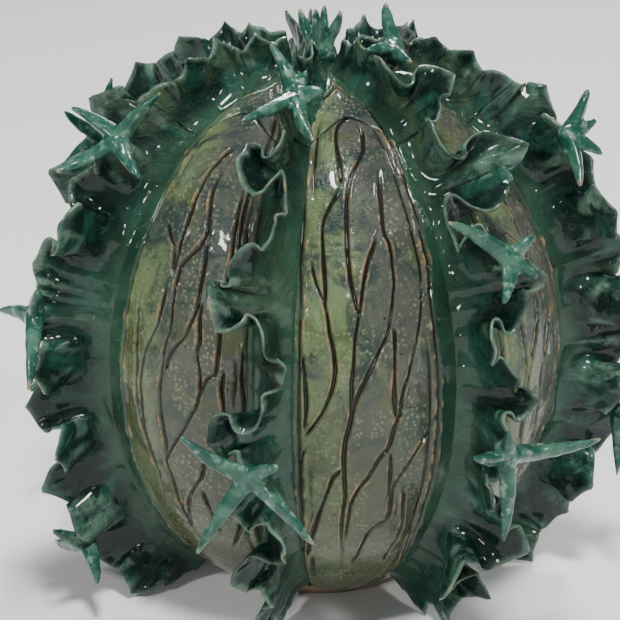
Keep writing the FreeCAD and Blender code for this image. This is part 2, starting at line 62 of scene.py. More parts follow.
# The folds of each ruffle: (station, sideways lean of the edge, height of the edge over the wall).
FOLDS = {
    1: [(8, 0, 14), (15, 4, 18), (22, -5, 22), (29, 6, 26), (37, -2, 27), (43, -12, 32), (50, 10, 33),
        (57, -6, 30), (64, 14, 36), (72, -10, 33), (80, -8, 32), (88, 10, 35), (96, -8, 33),
        (103, 12, 30), (111, -10, 34), (119, 8, 35), (127, -9, 33), (136, 6, 33), (141, 3, 20),
        (146, 0, 8)],
    2: [(8, 0, 14), (15, 4, 18), (22, -5, 22), (29, 4, 26), (37, -2, 27), (42, 2, 29), (48, -18, 32),
        (53, 9, 31), (58, 3, 30), (64, -10, 32), (70, -23, 34), (76, 1, 30), (81, 9, 31), (86, 4, 30),
        (91, -21, 34), (97, -4, 31), (103, -10, 33), (110, 11, 32), (118, -13, 34), (125, 2, 31),
        (131, -6, 33), (136, -5, 33), (141, -3, 20), (146, 0, 8)],
    3: [(8, 0, 14), (14, -3, 18), (20, 4, 22), (27, -14, 28), (33, 14, 29), (37, 2, 27), (43, -15, 30),
        (49, 20, 35), (53, 12, 31), (58, -26, 30), (64, 2, 31), (69, 15, 35), (73, 6, 31), (78, -17, 32),
        (84, -4, 31), (88, 7, 33), (93, -9, 31), (99, -6, 31), (104, -13, 32), (110, 4, 31), (116, 17, 34),
        (122, -24, 33), (128, 6, 31), (133, -6, 33), (136, -4, 33), (141, -2, 20), (146, 0, 8)],
    4: [(8, 0, 14), (15, -4, 18), (22, 6, 22), (29, -7, 26), (37, 3, 27), (43, 12, 32), (51, -18, 33),
        (58, 9, 31), (66, -14, 34), (74, 8, 32), (83, -9, 36), (91, 13, 33), (99, -10, 31),
        (108, 12, 34), (117, -11, 32), (126, 9, 33), (136, -5, 33), (141, -3, 20), (146, 0, 8)],
    5: [(8, 0, 14), (14, 4, 18), (22, -6, 22), (30, 5, 26), (37, -2, 27), (44, 15, 33), (52, -9, 31),
        (61, 12, 35), (69, -15, 31), (78, 6, 34), (87, -11, 32), (95, 16, 34), (104, -8, 31),
        (112, 9, 35), (120, -13, 32), (128, 7, 32), (136, 8, 33), (141, 4, 20), (146, 0, 8)],
    6: [(8, 0, 14), (15, -3, 18), (23, 5, 22), (30, -6, 26), (37, 2, 27), (45, -15, 33), (53, 8, 32),
        (62, -12, 35), (70, 13, 32), (79, -8, 33), (88, 15, 35), (97, -12, 31), (105, 9, 34),
        (113, -14, 33), (121, 6, 31), (128, -8, 33), (136, 4, 33), (141, 2, 20), (146, 0, 8)],
    7: [(8, 0, 14), (15, 4, 18), (22, -4, 22), (30, 7, 26), (37, -2, 27), (44, -11, 33), (51, 13, 34),
        (59, -9, 31), (67, 15, 35), (76, -12, 32), (84, 7, 34), (92, -15, 35), (101, 10, 31),
        (109, -9, 34), (117, 13, 33), (126, -8, 32), (136, -7, 33), (141, -4, 20), (146, 0, 8)],
}

# Spine stars: name, body, rib, station, sideways offset, hub height, turn of the star's face, and
# its spines as (direction, length, lift, bend), in degrees and millimetres.
STARS = [
    ("star_2_top", "lid", 2, 34, 4, 28, 0,
     [(333, 28, 16, -12), (162, 42, 18, -10), (206, 38, 28, 10), (12, 14, 12, 8), (84, 14, 16, 6)]),
    ("star_3_top", "lid", 3, 21, 4, 24, 0,
     [(15, 26, 24, 8), (249, 24, 16, 12), (204, 26, 16, -10)]),
    ("star_1_upper", "bowl", 1, 47.5, 13, 31, 36,
     [(276, 28, 8, -10), (12, 30, 20, 12), (204, 32, 12, 10), (120, 24, 8, -12)]),
    ("star_1_middle", "bowl", 1, 80, -2, 33, 0,
     [(267, 26, 16, -12), (126, 42, 20, 10), (30, 20, 16, 8)]),
    ("star_1_lower", "bowl", 1, 123, -2, 34, 0,
     [(20, 28, 24, 8), (110, 27, 20, -10), (255, 30, 20, 10)]),
    ("star_2_lower", "bowl", 2, 96.5, -3, 34, 0,
     [(303, 36, 16, 10), (216, 42, 16, -6), (120, 42, 28, 8), (54, 22, 28, -10)]),
    ("star_3_upper", "bowl", 3, 65.5, 1, 34, -12,
     [(309, 40, 16, -14), (140, 15, 30, 8), (202, 21, 10, 10), (54, 15, 20, 8)]),
    ("star_3_lower", "bowl", 3, 96, -7, 34, -8,
     [(339, 18, 24, 4), (90, 46, 6, -8), (282, 26, 20, 10), (183, 40, 14, 6)]),
    ("star_4_upper", "bowl", 4, 50.5, -18, 33, -26,
     [(72, 28, 16, -10), (153, 20, 16, 8), (226, 30, 12, 10), (104, 20, 16, -6)]),
    ("star_4_lower", "bowl", 4, 103, 0, 33, 0,
     [(15, 30, 22, 9), (100, 32, 18, -9), (190, 34, 16, 8), (280, 29, 24, -10)]),
    ("star_5_middle", "bowl", 5, 72, -8, 32, 0,
     [(350, 34, 18, 9), (75, 30, 24, -8), (160, 36, 14, 8), (250, 33, 20, 10)]),
    ("star_5_lower", "bowl", 5, 110, 5, 34, 0,
     [(35, 33, 18, -9), (120, 34, 14, 8), (210, 36, 14, -8), (305, 31, 22, 9)]),
    ("star_6_upper", "bowl", 6, 55, 3, 32, 0,
     [(5, 33, 20, 8), (85, 31, 20, -9), (165, 35, 16, 8), (245, 32, 18, -8), (315, 24, 38, 6)]),
    ("star_6_middle", "bowl", 6, 88, 12, 35, 0,
     [(30, 35, 18, 9), (115, 33, 18, -8), (205, 37, 12, 8), (290, 34, 18, -9)]),
    ("star_6_lower", "bowl", 6, 119, 1, 33, 0,
     [(345, 31, 20, 8), (70, 29, 22, -8), (265, 33, 18, 9)]),
    ("star_7_upper", "bowl", 7, 60, -7, 32, 0,
     [(345, 32, 20, 9), (65, 33, 18, -9), (155, 34, 16, 8), (235, 35, 16, -8)]),
    ("star_7_lower", "bowl", 7, 104, 4, 33, 0,
     [(15, 34, 18, -8), (105, 32, 20, 9), (190, 38, 12, 8), (280, 33, 20, -9)]),
]

# Upright spikes of the crown bud: (azimuth, tilt from the vertical).
BUD_SPIKES = [(-20, 16), (75, 24), (165, 20), (250, 26)]


class Carving(Enum):
    """Which network of carved veins a panel carries."""

    BRANCHING = "branching"
    SWEEPING = "sweeping"


# Half width of the plain band at each rib, in degrees of azimuth from the rib's middle.
BAND_DEGREES = {1: 10.0, 2: 5.6, 3: 8.8, 4: 7.6, 5: 9.0, 6: 6.6, 7: 8.4}

# Carved veins as (share of the way from the panel's left rib to its right one, station).
VEINS = {
    Carving.BRANCHING: [
        [(0.52, 28), (0.42, 30), (0.36, 33), (0.35, 37), (0.36, 41), (0.36, 46)],
        [(0.35, 47), (0.29, 50), (0.24, 54), (0.24, 60), (0.25, 66), (0.25, 70)],
        [(0.17, 60), (0.20, 65), (0.25, 70), (0.27, 75), (0.29, 79), (0.29, 84), (0.25, 89), (0.21, 92),
         (0.14, 96)],
        [(0.57, 31), (0.58, 34), (0.55, 38), (0.49, 41), (0.43, 44), (0.40, 47), (0.38, 51), (0.37, 57),
         (0.37, 61), (0.38, 66), (0.40, 70), (0.41, 72)],
        [(0.55, 56), (0.51, 59), (0.47, 62), (0.44, 66), (0.42, 70), (0.41, 72), (0.39, 76), (0.38, 81),
         (0.37, 85), (0.37, 91), (0.34, 97), (0.34, 103), (0.35, 109), (0.34, 116), (0.37, 133)],
        [(0.63, 43), (0.60, 48), (0.59, 52), (0.58, 56), (0.60, 59), (0.60, 65), (0.59, 68), (0.55, 75),
         (0.50, 79), (0.46, 82), (0.41, 86), (0.38, 89), (0.36, 94)],
        [(0.58, 74), (0.58, 78), (0.57, 84), (0.57, 88), (0.58, 92)],
        [(0.75, 66), (0.74, 70), (0.71, 75), (0.66, 81), (0.64, 84), (0.61, 87), (0.60, 91), (0.58, 93),
         (0.55, 98), (0.51, 100), (0.46, 104), (0.41, 107), (0.38, 111), (0.37, 117), (0.36, 123)],
        [(0.56, 99), (0.57, 104), (0.57, 110)],
        [(0.79, 93), (0.75, 96), (0.70, 99), (0.66, 102), (0.62, 105), (0.59, 108), (0.59, 113),
         (0.58, 116), (0.51, 118), (0.47, 122), (0.45, 127), (0.41, 133)],
        [(0.65, 108), (0.66, 112), (0.68, 117), (0.68, 122), (0.65, 127), (0.64, 132)],
        [(0.76, 119), (0.78, 128), (0.80, 134)],
        [(0.15, 98), (0.13, 102), (0.13, 108), (0.13, 114)],
        [(0.34, 102), (0.29, 104), (0.26, 108), (0.23, 112), (0.21, 115), (0.17, 122), (0.14, 129)],
        [(0.14, 79), (0.15, 83), (0.16, 89), (0.15, 94)],
        [(0.87, 45), (0.86, 49), (0.86, 53), (0.90, 56)],
        [(0.88, 97), (0.90, 104), (0.91, 112), (0.93, 121)],
        [(0.88, 58), (0.90, 66), (0.90, 74), (0.92, 80), (0.93, 86), (0.94, 94), (0.94, 104),
         (0.93, 116), (0.92, 128)],
    ],
    Carving.SWEEPING: [
        [(0.60, 38), (0.53, 42), (0.49, 46), (0.48, 51), (0.48, 55), (0.48, 59), (0.48, 63),
         (0.48, 67)],
        [(0.33, 57), (0.41, 60), (0.45, 62), (0.47, 66)],
        [(0.45, 67), (0.45, 72), (0.44, 76), (0.41, 79), (0.38, 82), (0.36, 85), (0.35, 88), (0.35, 94),
         (0.35, 98), (0.37, 104), (0.39, 109), (0.37, 114)],
        [(0.29, 72), (0.30, 76), (0.31, 81), (0.32, 86), (0.32, 92), (0.33, 97), (0.36, 103)],
        [(0.60, 40), (0.57, 48), (0.60, 54), (0.62, 58), (0.58, 61), (0.52, 64), (0.51, 67), (0.51, 72),
         (0.51, 77), (0.49, 81), (0.48, 86), (0.47, 90), (0.47, 94), (0.48, 100), (0.47, 104)],
        [(0.62, 58), (0.64, 63), (0.64, 68), (0.64, 72), (0.62, 75), (0.59, 78), (0.55, 80), (0.52, 82),
         (0.49, 86)],
        [(0.66, 70), (0.66, 74), (0.67, 78), (0.66, 81), (0.68, 85), (0.68, 88)],
        [(0.74, 44), (0.75, 48), (0.76, 53), (0.77, 58), (0.78, 62), (0.77, 64), (0.77, 68), (0.76, 72),
         (0.76, 76), (0.76, 80), (0.75, 84), (0.72, 85), (0.69, 87), (0.66, 91), (0.62, 94), (0.58, 97),
         (0.53, 100), (0.47, 104), (0.47, 107), (0.48, 109), (0.47, 114), (0.48, 117), (0.48, 122),
         (0.49, 128)],
        [(0.79, 45), (0.79, 49), (0.79, 54), (0.80, 59), (0.81, 63)],
        [(0.79, 83), (0.78, 87), (0.79, 91), (0.79, 94)],
        [(0.68, 102), (0.66, 106), (0.61, 109), (0.55, 113), (0.51, 118), (0.46, 124)],
        [(0.64, 110), (0.65, 114), (0.66, 117), (0.67, 122)],
        [(0.80, 108), (0.81, 112), (0.82, 116), (0.78, 121), (0.72, 126)],
        [(0.87, 79), (0.87, 84), (0.88, 90)],
    ],
}

# Each panel's carving: network, sideways shift, downward shift in degrees, and whether mirrored.
PANEL_CARVINGS = {
    1: (Carving.SWEEPING, 0.0, 0.0, False),
    2: (Carving.BRANCHING, 0.0, 0.0, False),
    3: (Carving.SWEEPING, 0.03, 3.0, False),
    4: (Carving.BRANCHING, -0.02, -3.0, True),
    5: (Carving.SWEEPING, 0.02, 2.0, True),
    6: (Carving.BRANCHING, 0.02, 4.0, False),
    7: (Carving.SWEEPING, -0.03, -2.0, True),
}


# ---------------------------------------------------------------- numbers and meshes


class Noise:
    """Smooth value noise in space, from one seeded lattice that repeats every 32 cells."""

    def __init__(self, seed: int) -> None:
        """Draws the lattice.

        Args:
            seed: number that fixes the lattice.
        """
        self.lattice = np.random.default_rng(seed).uniform(-1.0, 1.0, (32, 32, 32))

    def at(self, points: Array, cell: float) -> Array:
        """Noise from -1 to 1: the eight corners of a cell, blended by the cubic 3f^2 - 2f^3.

        Args:
            points: (..., 3) positions in millimetres.
            cell: size of a cell in millimetres.

        Returns:
            The noise at each point.
        """
        scaled = points / cell
        low = np.floor(scaled).astype(int)
        part = scaled - low
        part = part * part * (3.0 - 2.0 * part)
        total = np.zeros(points.shape[:-1])
        for corner in range(8):
            step = np.array([corner & 1, corner >> 1 & 1, corner >> 2 & 1])
            weight = np.prod(np.where(step, part, 1.0 - part), axis=-1)
            index = (low + step) % 32
            total += weight * self.lattice[index[..., 0], index[..., 1], index[..., 2]]
        return total


def smooth(low: float, high: float, value: Array) -> Array:
    """Eases from 0 at low to 1 at high by the cubic 3f^2 - 2f^3; high may be below low."""
    share = np.clip((value - low) / (high - low), 0.0, 1.0)
    return share * share * (3.0 - 2.0 * share)


def unit(vectors: Array) -> Array:
    """Each vector at length 1."""
    length = np.linalg.norm(vectors, axis=-1, keepdims=True)
    return vectors / np.maximum(length, 1e-9)


def blurred(values: Array, radius: int, axis: int) -> Array:
    """A running mean along an axis, with the end values held past the ends.

    Args:
        values: array to smooth.
        radius: samples taken on each side.
        axis: axis to smooth along.

    Returns:
        The smoothed array, of the same shape.
    """
    pad = [(0, 0)] * values.ndim
    pad[axis] = (radius + 1, radius)
    total = np.cumsum(np.pad(values, pad, mode="edge"), axis=axis)
    count = values.shape[axis]
    high = np.take(total, np.arange(2 * radius + 1, 2 * radius + 1 + count), axis=axis)
    low = np.take(total, np.arange(0, count), axis=axis)
    return (high - low) / (2 * radius + 1)


def grid_quads(rows: int, columns: int, wrap: bool, first: int = 0) -> Array:
    """Corner indices of the quads between the points of a grid stored row by row.

    Args:
        rows: number of rows.
        columns: number of points in a row.
        wrap: whether each row closes on itself.
        first: index of the grid's first point.

    Returns:
        (quads, 4) indices.
    """
    row = np.arange(rows - 1)[:, None]
    column = np.arange(columns if wrap else columns - 1)[None, :]
    after = (column + 1) % columns
    quads = [row * columns + column, row * columns + after, (row + 1) * columns + after,
             (row + 1) * columns + column]
    return np.stack(np.broadcast_arrays(*quads), axis=-1).reshape(-1, 4) + first


def fan(ring: Array, centre: int, flip: bool) -> Array:
    """Triangles from a closed ring of indices to one centre point."""
    after = np.roll(ring, -1)
    pair = (after, ring) if flip else (ring, after)
    return np.stack([pair[0], pair[1], np.full(len(ring), centre)], axis=-1)


def make_mesh(name: str, points: Array, quads: Array, triangles: Array,
              marks: dict[str, Array]) -> bpy.types.Object:
    """Puts a closed, smooth-shaded mesh in the scene.

    Args:
        name: name of the piece.
        points: (count, 3) positions in millimetres.
        quads: (count, 4) corner indices.
        triangles: (count, 3) corner indices.
        marks: values per point, kept as attributes for the glaze to read.

    Returns:
        The new object, at the origin.
    """
    mesh = bpy.data.meshes.new(name)
    corners = np.concatenate([quads.ravel(), triangles.ravel()]).astype(np.int32)
    sizes = np.concatenate([np.full(len(quads), 4), np.full(len(triangles), 3)]).astype(np.int32)
    mesh.vertices.add(len(points))
    mesh.vertices.foreach_set("co", (points * MM).astype(np.float32).ravel())
    mesh.loops.add(len(corners))
    mesh.loops.foreach_set("vertex_index", corners)
    mesh.polygons.add(len(sizes))
    mesh.polygons.foreach_set("loop_start", np.concatenate([[0], np.cumsum(sizes)[:-1]]).astype(np.int32))
    mesh.polygons.foreach_set("use_smooth", np.ones(len(sizes), bool))
    for mark, values in marks.items():
        layer = mesh.attributes.new(mark, "FLOAT", "POINT")
        layer.data.foreach_set("value", values.astype(np.float32).ravel())
    mesh.update(calc_edges=True)
    mesh.validate()
    piece = bpy.data.objects.new(name, mesh)
    bpy.context.scene.collection.objects.link(piece)
    return piece


def place(piece: bpy.types.Object, body: str, node: str, slot: str, glaze: bpy.types.Material) -> None:
    """Gives a piece its glaze and its body, hides the CAD node it stands for, and reports it.

    Args:
        piece: the finished piece.
        body: body it rides on.
        node: CAD node it replaces.
        slot: the record's material slot; not used.
        glaze: its material.
    """
    piece.data.materials.clear()
    piece.data.materials.append(glaze)
    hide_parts(node)
    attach(piece, body)
    log.info("%s: %d points", piece.name, len(piece.data.vertices))


# ---------------------------------------------------------------- the shape shared by every piece


@dataclass
class Globe:
    """The ellipsoid that the wall, the lid and the ribs are all set out on."""

    belly_radius: float
    pole_height: float
    belly_height: float = 123.0
    seat_level: float = 235.0
    seat_mean: float = 64.0
    seat_swing: float = 13.0
    seat_slope: float = math.tan(math.radians(48.0))
    noise: Noise = field(default_factory=lambda: Noise(11))

    @property
    def half_height(self) -> float:
        """Height of the pole over the belly."""
        return self.pole_height - self.belly_height

    def ribs(self) -> Array:
        """Azimuths of the seven ribs and of the first again, in order."""
        around = list(RIB_AZIMUTHS.values())
        return np.array(around + [around[0] + 360.0])

    def point(self, azimuth: Array, station: Array, height: Array = 0.0) -> Array:
        """A point on the wall, or height over it along the normal.

        On the wall it is (R sin s sin a, -R sin s cos a, zc + V cos s), with R the belly radius, V the
        half height, zc the belly's height, s the station and a the azimuth.

        Args:
            azimuth: degrees from the front towards +X.
            station: degrees down from the pole.
            height: millimetres over the wall.

        Returns:
            (..., 3) positions.
        """
        out, up = self.normal_parts(station)
        turn, down = np.radians(azimuth), np.radians(station)
        radius = self.belly_radius * np.sin(down) + out * height
        level = self.belly_height + self.half_height * np.cos(down) + up * height
        parts = np.broadcast_arrays(radius * np.sin(turn), -radius * np.cos(turn), level)
        return np.stack(parts, axis=-1)

    def normal_parts(self, station: Array) -> tuple[Array, Array]:
        """The outward and upward parts of the unit normal: (sin s / R, cos s / V) at length 1."""
        down = np.radians(station)
        out, up = np.sin(down) / self.belly_radius, np.cos(down) / self.half_height
        length = np.hypot(out, up)
        return out / length, up / length

    def share(self, azimuth: Array) -> tuple[Array, Array, Array]:
        """Which panel an azimuth is in.

        Args:
            azimuth: degrees.

        Returns:
            The panel's number from 1, the share of the way across it, and its width in degrees.
        """
        ribs = self.ribs()
        turned = ribs[0] + np.mod(azimuth - ribs[0], 360.0)
        panel = np.clip(np.searchsorted(ribs, turned, side="right"), 1, 7)
        width = ribs[panel] - ribs[panel - 1]
        return panel, (turned - ribs[panel - 1]) / width, width

    def run(self, station: Array) -> Array:
        """Length along the wall from the pole to a station: the sum of short steps of the ellipse."""
        fine = np.linspace(0.0, 180.0, 721)
        turn = np.radians(fine)
        pace = np.hypot(self.belly_radius * np.cos(turn), self.half_height * np.sin(turn))
        total = np.concatenate([[0.0], np.cumsum((pace[1:] + pace[:-1]) / 2 * np.radians(0.25))])
        return np.interp(station, fine, total)

    def seat_station(self, azimuth: Array, height: Array, gap: float) -> Array:
        """Station at which a point height over the wall meets the lid's slanted seat.

        The seat is radius = mean + swing cos(2 pi share) + slope (z - level); its station is found by
        halving an interval 30 times.

        Args:
            azimuth: degrees.
            height: millimetres over the wall.
            gap: millimetres by which to stand off outside the seat.

        Returns:
            The station in degrees.
        """
        _, share, _ = self.share(azimuth)
        lobe = self.seat_mean + self.seat_swing * np.cos(2 * np.pi * share)
        low = np.full(np.broadcast(azimuth, height).shape, 8.0)
        high = np.full(low.shape, 70.0)
        for _ in range(30):
            middle = (low + high) / 2
            out, up = self.normal_parts(middle)
            down = np.radians(middle)
            radius = self.belly_radius * np.sin(down) + out * height
            level = self.belly_height + self.half_height * np.cos(down) + up * height
            outside = radius > lobe + self.seat_slope * (level - self.seat_level) + gap
            high = np.where(outside, middle, high)
            low = np.where(outside, low, middle)
        return (low + high) / 2


@dataclass
class Relief:
    """Everything pressed or carved into the wall: pillowed panels, borders and veins."""

    globe: Globe
    pillow: float = 2.6
    crown_border: float = 9.5
    groove_depth: float = 1.6
    groove_half_width: float = 0.8

    def border(self, panel: Array, station: Array) -> tuple[Array, Array]:
        """Distance from the two ribs' middles to the panel's borders.

        The plain band is a fixed angle wide, so its width is the angle times the wall's radius; above
        station 30 it widens further, so that the borders meet in the panel's tip.

        Args:
            panel: number of the panel, per point.
            station: station per point.

        Returns:
            The left and right distances in millimetres.
        """
        bands = np.radians(np.array(list(BAND_DEGREES.values()) + [BAND_DEGREES[1]]))
        around = self.globe.belly_radius * np.sin(np.radians(station))
        close = self.crown_border * smooth(30.0, 15.0, station)
        return bands[panel - 1] * around + close, bands[panel] * around + close

    def vein_lines(self, panel: int) -> list[Array]:
        """The panel's veins as fine lines of (share, station), drawn by Catmull-Rom curves.

        Args:
            panel: number of the panel.

        Returns:
            One (points, 2) array per vein.
        """
        network, shift, drop, mirrored = PANEL_CARVINGS[panel]
        lines = []
        for vein in VEINS[network]:
            knots = np.array(vein, float)
            if mirrored:
                knots[:, 0] = 1.0 - knots[:, 0]
            knots += (shift, drop)
            ends = np.concatenate([2 * knots[:1] - knots[1:2], knots, 2 * knots[-1:] - knots[-2:-1]])
            step = np.linspace(0.0, 1.0, 6, endpoint=False)[None, :, None]
            a, b, c, d = (ends[i:len(ends) - 3 + i, None, :] for i in range(4))
            curve = 0.5 * (2 * b + (c - a) * step + (2 * a - 5 * b + 4 * c - d) * step**2
                           + (3 * b - a - 3 * c + d) * step**3)
            lines.append(np.concatenate([curve.reshape(-1, 2), knots[-1:]]))
        return lines

    def to_sheet(self, share: Array, station: Array, width: float) -> Array:
        """Lays the panel flat: x is the distance from its middle line and y the run down the wall."""
        reach = self.globe.belly_radius * np.sin(np.radians(station)) * math.radians(width)
        return np.stack([(share - 0.5) * reach, self.globe.run(station)], axis=-1)

    def veins(self, panel: int, share: Array, station: Array, width: float) -> tuple[Array, Array]:
        """Depth of the carved veins and height of the burr beside them.

        Each vein is a run of straight bits on the flat sheet.  A point's groove is
        depth exp(-(d / w)^2.4) with d its distance to the nearest bit and w a width that swells and
        shrinks along the cut, and its burr is a low ridge beside it, taller on the left.

        Args:
            panel: number of the panel.
            share: share of the way across, per point.
            station: station per point.
            width: the panel's width in degrees.

        Returns:
            (groove, burr), each in units of its own full depth.
        """
        here = self.to_sheet(share, station, width)
        groove = np.zeros(share.shape)
        burr = np.zeros(share.shape)
        for line in self.vein_lines(panel):
            path = self.to_sheet(line[:, 0], line[:, 1], width)
            count = len(path) - 1
            nearest = np.full(share.shape, 1e9)
            side = np.zeros(share.shape)
            along = np.zeros(share.shape)
            low, high = path.min(axis=0) - 5.0, path.max(axis=0) + 5.0
            close = np.all((here > low) & (here < high), axis=-1)
            local = here[close]
            best, turn, where = nearest[close], side[close], along[close]
            for index in range(count):
                start, step = path[index], path[index + 1] - path[index]
                part = np.clip(((local - start) @ step) / (step @ step), 0.0, 1.0)
                offset = local - start - part[:, None] * step
                distance = np.hypot(offset[:, 0], offset[:, 1])
                better = distance < best
                best = np.where(better, distance, best)
                turn = np.where(better, step[0] * offset[:, 1] - step[1] * offset[:, 0], turn)
                where = np.where(better, (index + part) / count, where)
            taper = smooth(0.0, 0.1, where) * smooth(1.0, 0.93, where) * 0.75 + 0.25
            wide = self.groove_half_width * (1.0 + 0.28 * np.sin(9.0 * where + 5.0 * path[0, 1]))
            cut = taper * np.exp(-((best / wide) ** 2.4))
            ridge = taper * np.exp(-(((best - wide - 0.7) / 0.65) ** 2)) * np.where(turn > 0, 1.0, 0.6)
            groove[close] = np.maximum(groove[close], cut)
            burr[close] = np.maximum(burr[close], ridge)
        return groove, burr * (1.0 - groove)

    def evaluate(self, azimuth: Array, station: Array) -> tuple[Array, dict[str, Array]]:
        """The carved surface at each point and the marks that its glaze follows.

        Args:
            azimuth: degrees.
            station: degrees.

        Returns:
            Height over the plain wall in millimetres, and the marks.
        """
        globe = self.globe
        panel, share, width = globe.share(azimuth)
        reach = globe.belly_radius * np.sin(np.radians(station)) * np.radians(width)
        left, right = share * reach, (1.0 - share) * reach
        left_edge, right_edge = self.border(panel, station)
        inside = np.minimum(left - left_edge, right - right_edge)
        flat = globe.point(azimuth, station)
        coarse, fine = globe.noise.at(flat, 17.0), globe.noise.at(flat, 4.5)
        crumbs = globe.noise.at(flat, 1.6)
        wander = inside + 1.1 * coarse
        height = self.pillow * (1.0 - np.exp(-np.maximum(inside, 0.0) / 12.0))
        height += 0.35 * coarse + 0.12 * fine
        groove, burr = np.zeros(share.shape), np.zeros(share.shape)
        for number in range(1, 8):
            mine = panel == number
            if mine.any():
                groove[mine], burr[mine] = self.veins(number, share[mine], station[mine],
                                                      float(width[mine][0]))
        keep = smooth(-0.5, 2.0, inside)
        groove, burr = groove * keep, burr * keep
        outer = 0.7 * np.exp(-((wander / 0.8) ** 2))
        second = smooth(-0.2, 0.5, coarse + 0.5 * (share > 0.5)) * np.exp(-(((wander - 4.6) / 0.9) ** 2))
        lip = 1.1 * np.exp(-(((wander - 1.9) / 1.0) ** 2)) + 0.8 * np.exp(-(((wander + 1.7) / 0.9) ** 2))
        groove = np.maximum(groove, np.maximum(outer, 0.75 * second))
        burr = np.maximum(burr, lip * (0.6 + 0.5 * fine)) * (1.0 - groove)
        burr = np.clip(burr * (0.62 + 0.9 * crumbs + 1.0 * fine + 0.5 * coarse), 0.0, 1.4)
        height += -self.groove_depth * groove + 0.6 * burr
        marks = {
            "groove": groove,
            "burr": burr,
            "across": share,
            "band": smooth(2.5, -2.5, wander),
            "low": smooth(60.0, 140.0, station),
        }
        return height, marks


# ---------------------------------------------------------------- wall, lid and foot


@dataclass
class WallGore:
    """One gore of the bowl's wall between two ribs: carved outside, plain inside."""

    relief: Relief
    number: int
    columns: int = 176
    rows: int = 264
    skip: int = 4
    floor_station: float = 148.29
    thickness: float = 7.0
    thickness_up: float = 8.0
    gap: float = 0.18

    def inner_point(self, azimuth: Array, station: Array) -> Array:
        """A point of the inner face, an ellipsoid with both half axes shorter by the wall."""
        globe = self.relief.globe
        radius, rise = globe.belly_radius - self.thickness, globe.half_height - self.thickness_up
        turn, down = np.radians(azimuth), np.radians(station)
        around = radius * np.sin(down)
        parts = np.broadcast_arrays(around * np.sin(turn), -around * np.cos(turn),
                                    globe.belly_height + rise * np.cos(down))
        return np.stack(parts, axis=-1)

    def inner_station(self, azimuth: Array, station: Array) -> Array:
        """Inner station facing an outer one, eased to meet the seat at the top and the slab below."""
        globe = self.relief.globe
        rise = globe.half_height - self.thickness_up
        floor_level = globe.belly_height + globe.half_height * math.cos(math.radians(self.floor_station))
        foot = math.degrees(math.acos((floor_level - globe.belly_height) / rise))
        top = globe.seat_station(azimuth, np.full(np.shape(azimuth), -self.thickness), self.gap)
        first = globe.seat_station(azimuth, np.zeros(np.shape(azimuth)), self.gap)
        share = (station - first) / (self.floor_station - first)
        return top + share * (foot - top)

    def build(self) -> bpy.types.Object:
        """Builds the gore as a grid of outer points with the inner points closing each row.

        Returns:
            The closed mesh.
        """
        globe = self.relief.globe
        ribs = globe.ribs()
        tiny = 1e-4
        across = np.linspace(ribs[self.number - 1] + tiny, ribs[self.number] - tiny, self.columns + 1)
        down = np.linspace(0.0, 1.0, self.rows + 1)[:, None]
        first = globe.seat_station(across, np.zeros(across.shape), self.gap)[None, :]
        station = first + down * (self.floor_station - first)
        azimuth = np.broadcast_to(across[None, :], station.shape)
        height, marks = self.relief.evaluate(azimuth, station)
        height = height * smooth(0.0, 0.01, down)
        outer = globe.point(azimuth, station, height)
        picked = slice(None, None, -self.skip)
        inner_azimuth, inner_outer = azimuth[:, picked], station[:, picked]
        inner = self.inner_point(inner_azimuth, self.inner_station(inner_azimuth, inner_outer))
        outer[-1, :, 2] = inner[-1, 0, 2]
        ring = np.concatenate([outer, inner], axis=1)
        count = ring.shape[1]
        quads = grid_quads(self.rows + 1, count, True)
        triangles = [self.cap(0, False), self.cap(self.rows * count, True)]
        blank = np.zeros(inner.shape[:2])
        full = {name: np.concatenate([values, blank + (0.5 if name == "across" else 0.0)], axis=1)
                for name, values in marks.items()}
        return make_mesh(f"carved_wall_{self.number}", ring.reshape(-1, 3), quads[:, ::-1],
                         np.concatenate(triangles), full)

    def cap(self, first: int, flip: bool) -> Array:
        """Triangles that close the strip between a row's outer points and its fewer inner points.

        Args:
            first: index of the row's first point.
            flip: whether the strip faces down the wall.

        Returns:
            (triangles, 3) indices.
        """
        outer = np.arange(self.columns + 1)
        inner = self.columns + 1 + (self.columns // self.skip - outer[::self.skip] // self.skip)
        near = inner[np.minimum((outer[:-1] + self.skip // 2) // self.skip, len(inner) - 1)]
        fans = np.stack([outer[:-1], outer[1:], near], axis=-1)
        corner = outer[self.skip // 2:: self.skip][: len(inner) - 1]
        bridges = np.stack([inner[:-1], corner, inner[1:]], axis=-1)
        triangles = np.concatenate([fans, bridges]) + first
        return triangles[:, ::-1] if flip else triangles


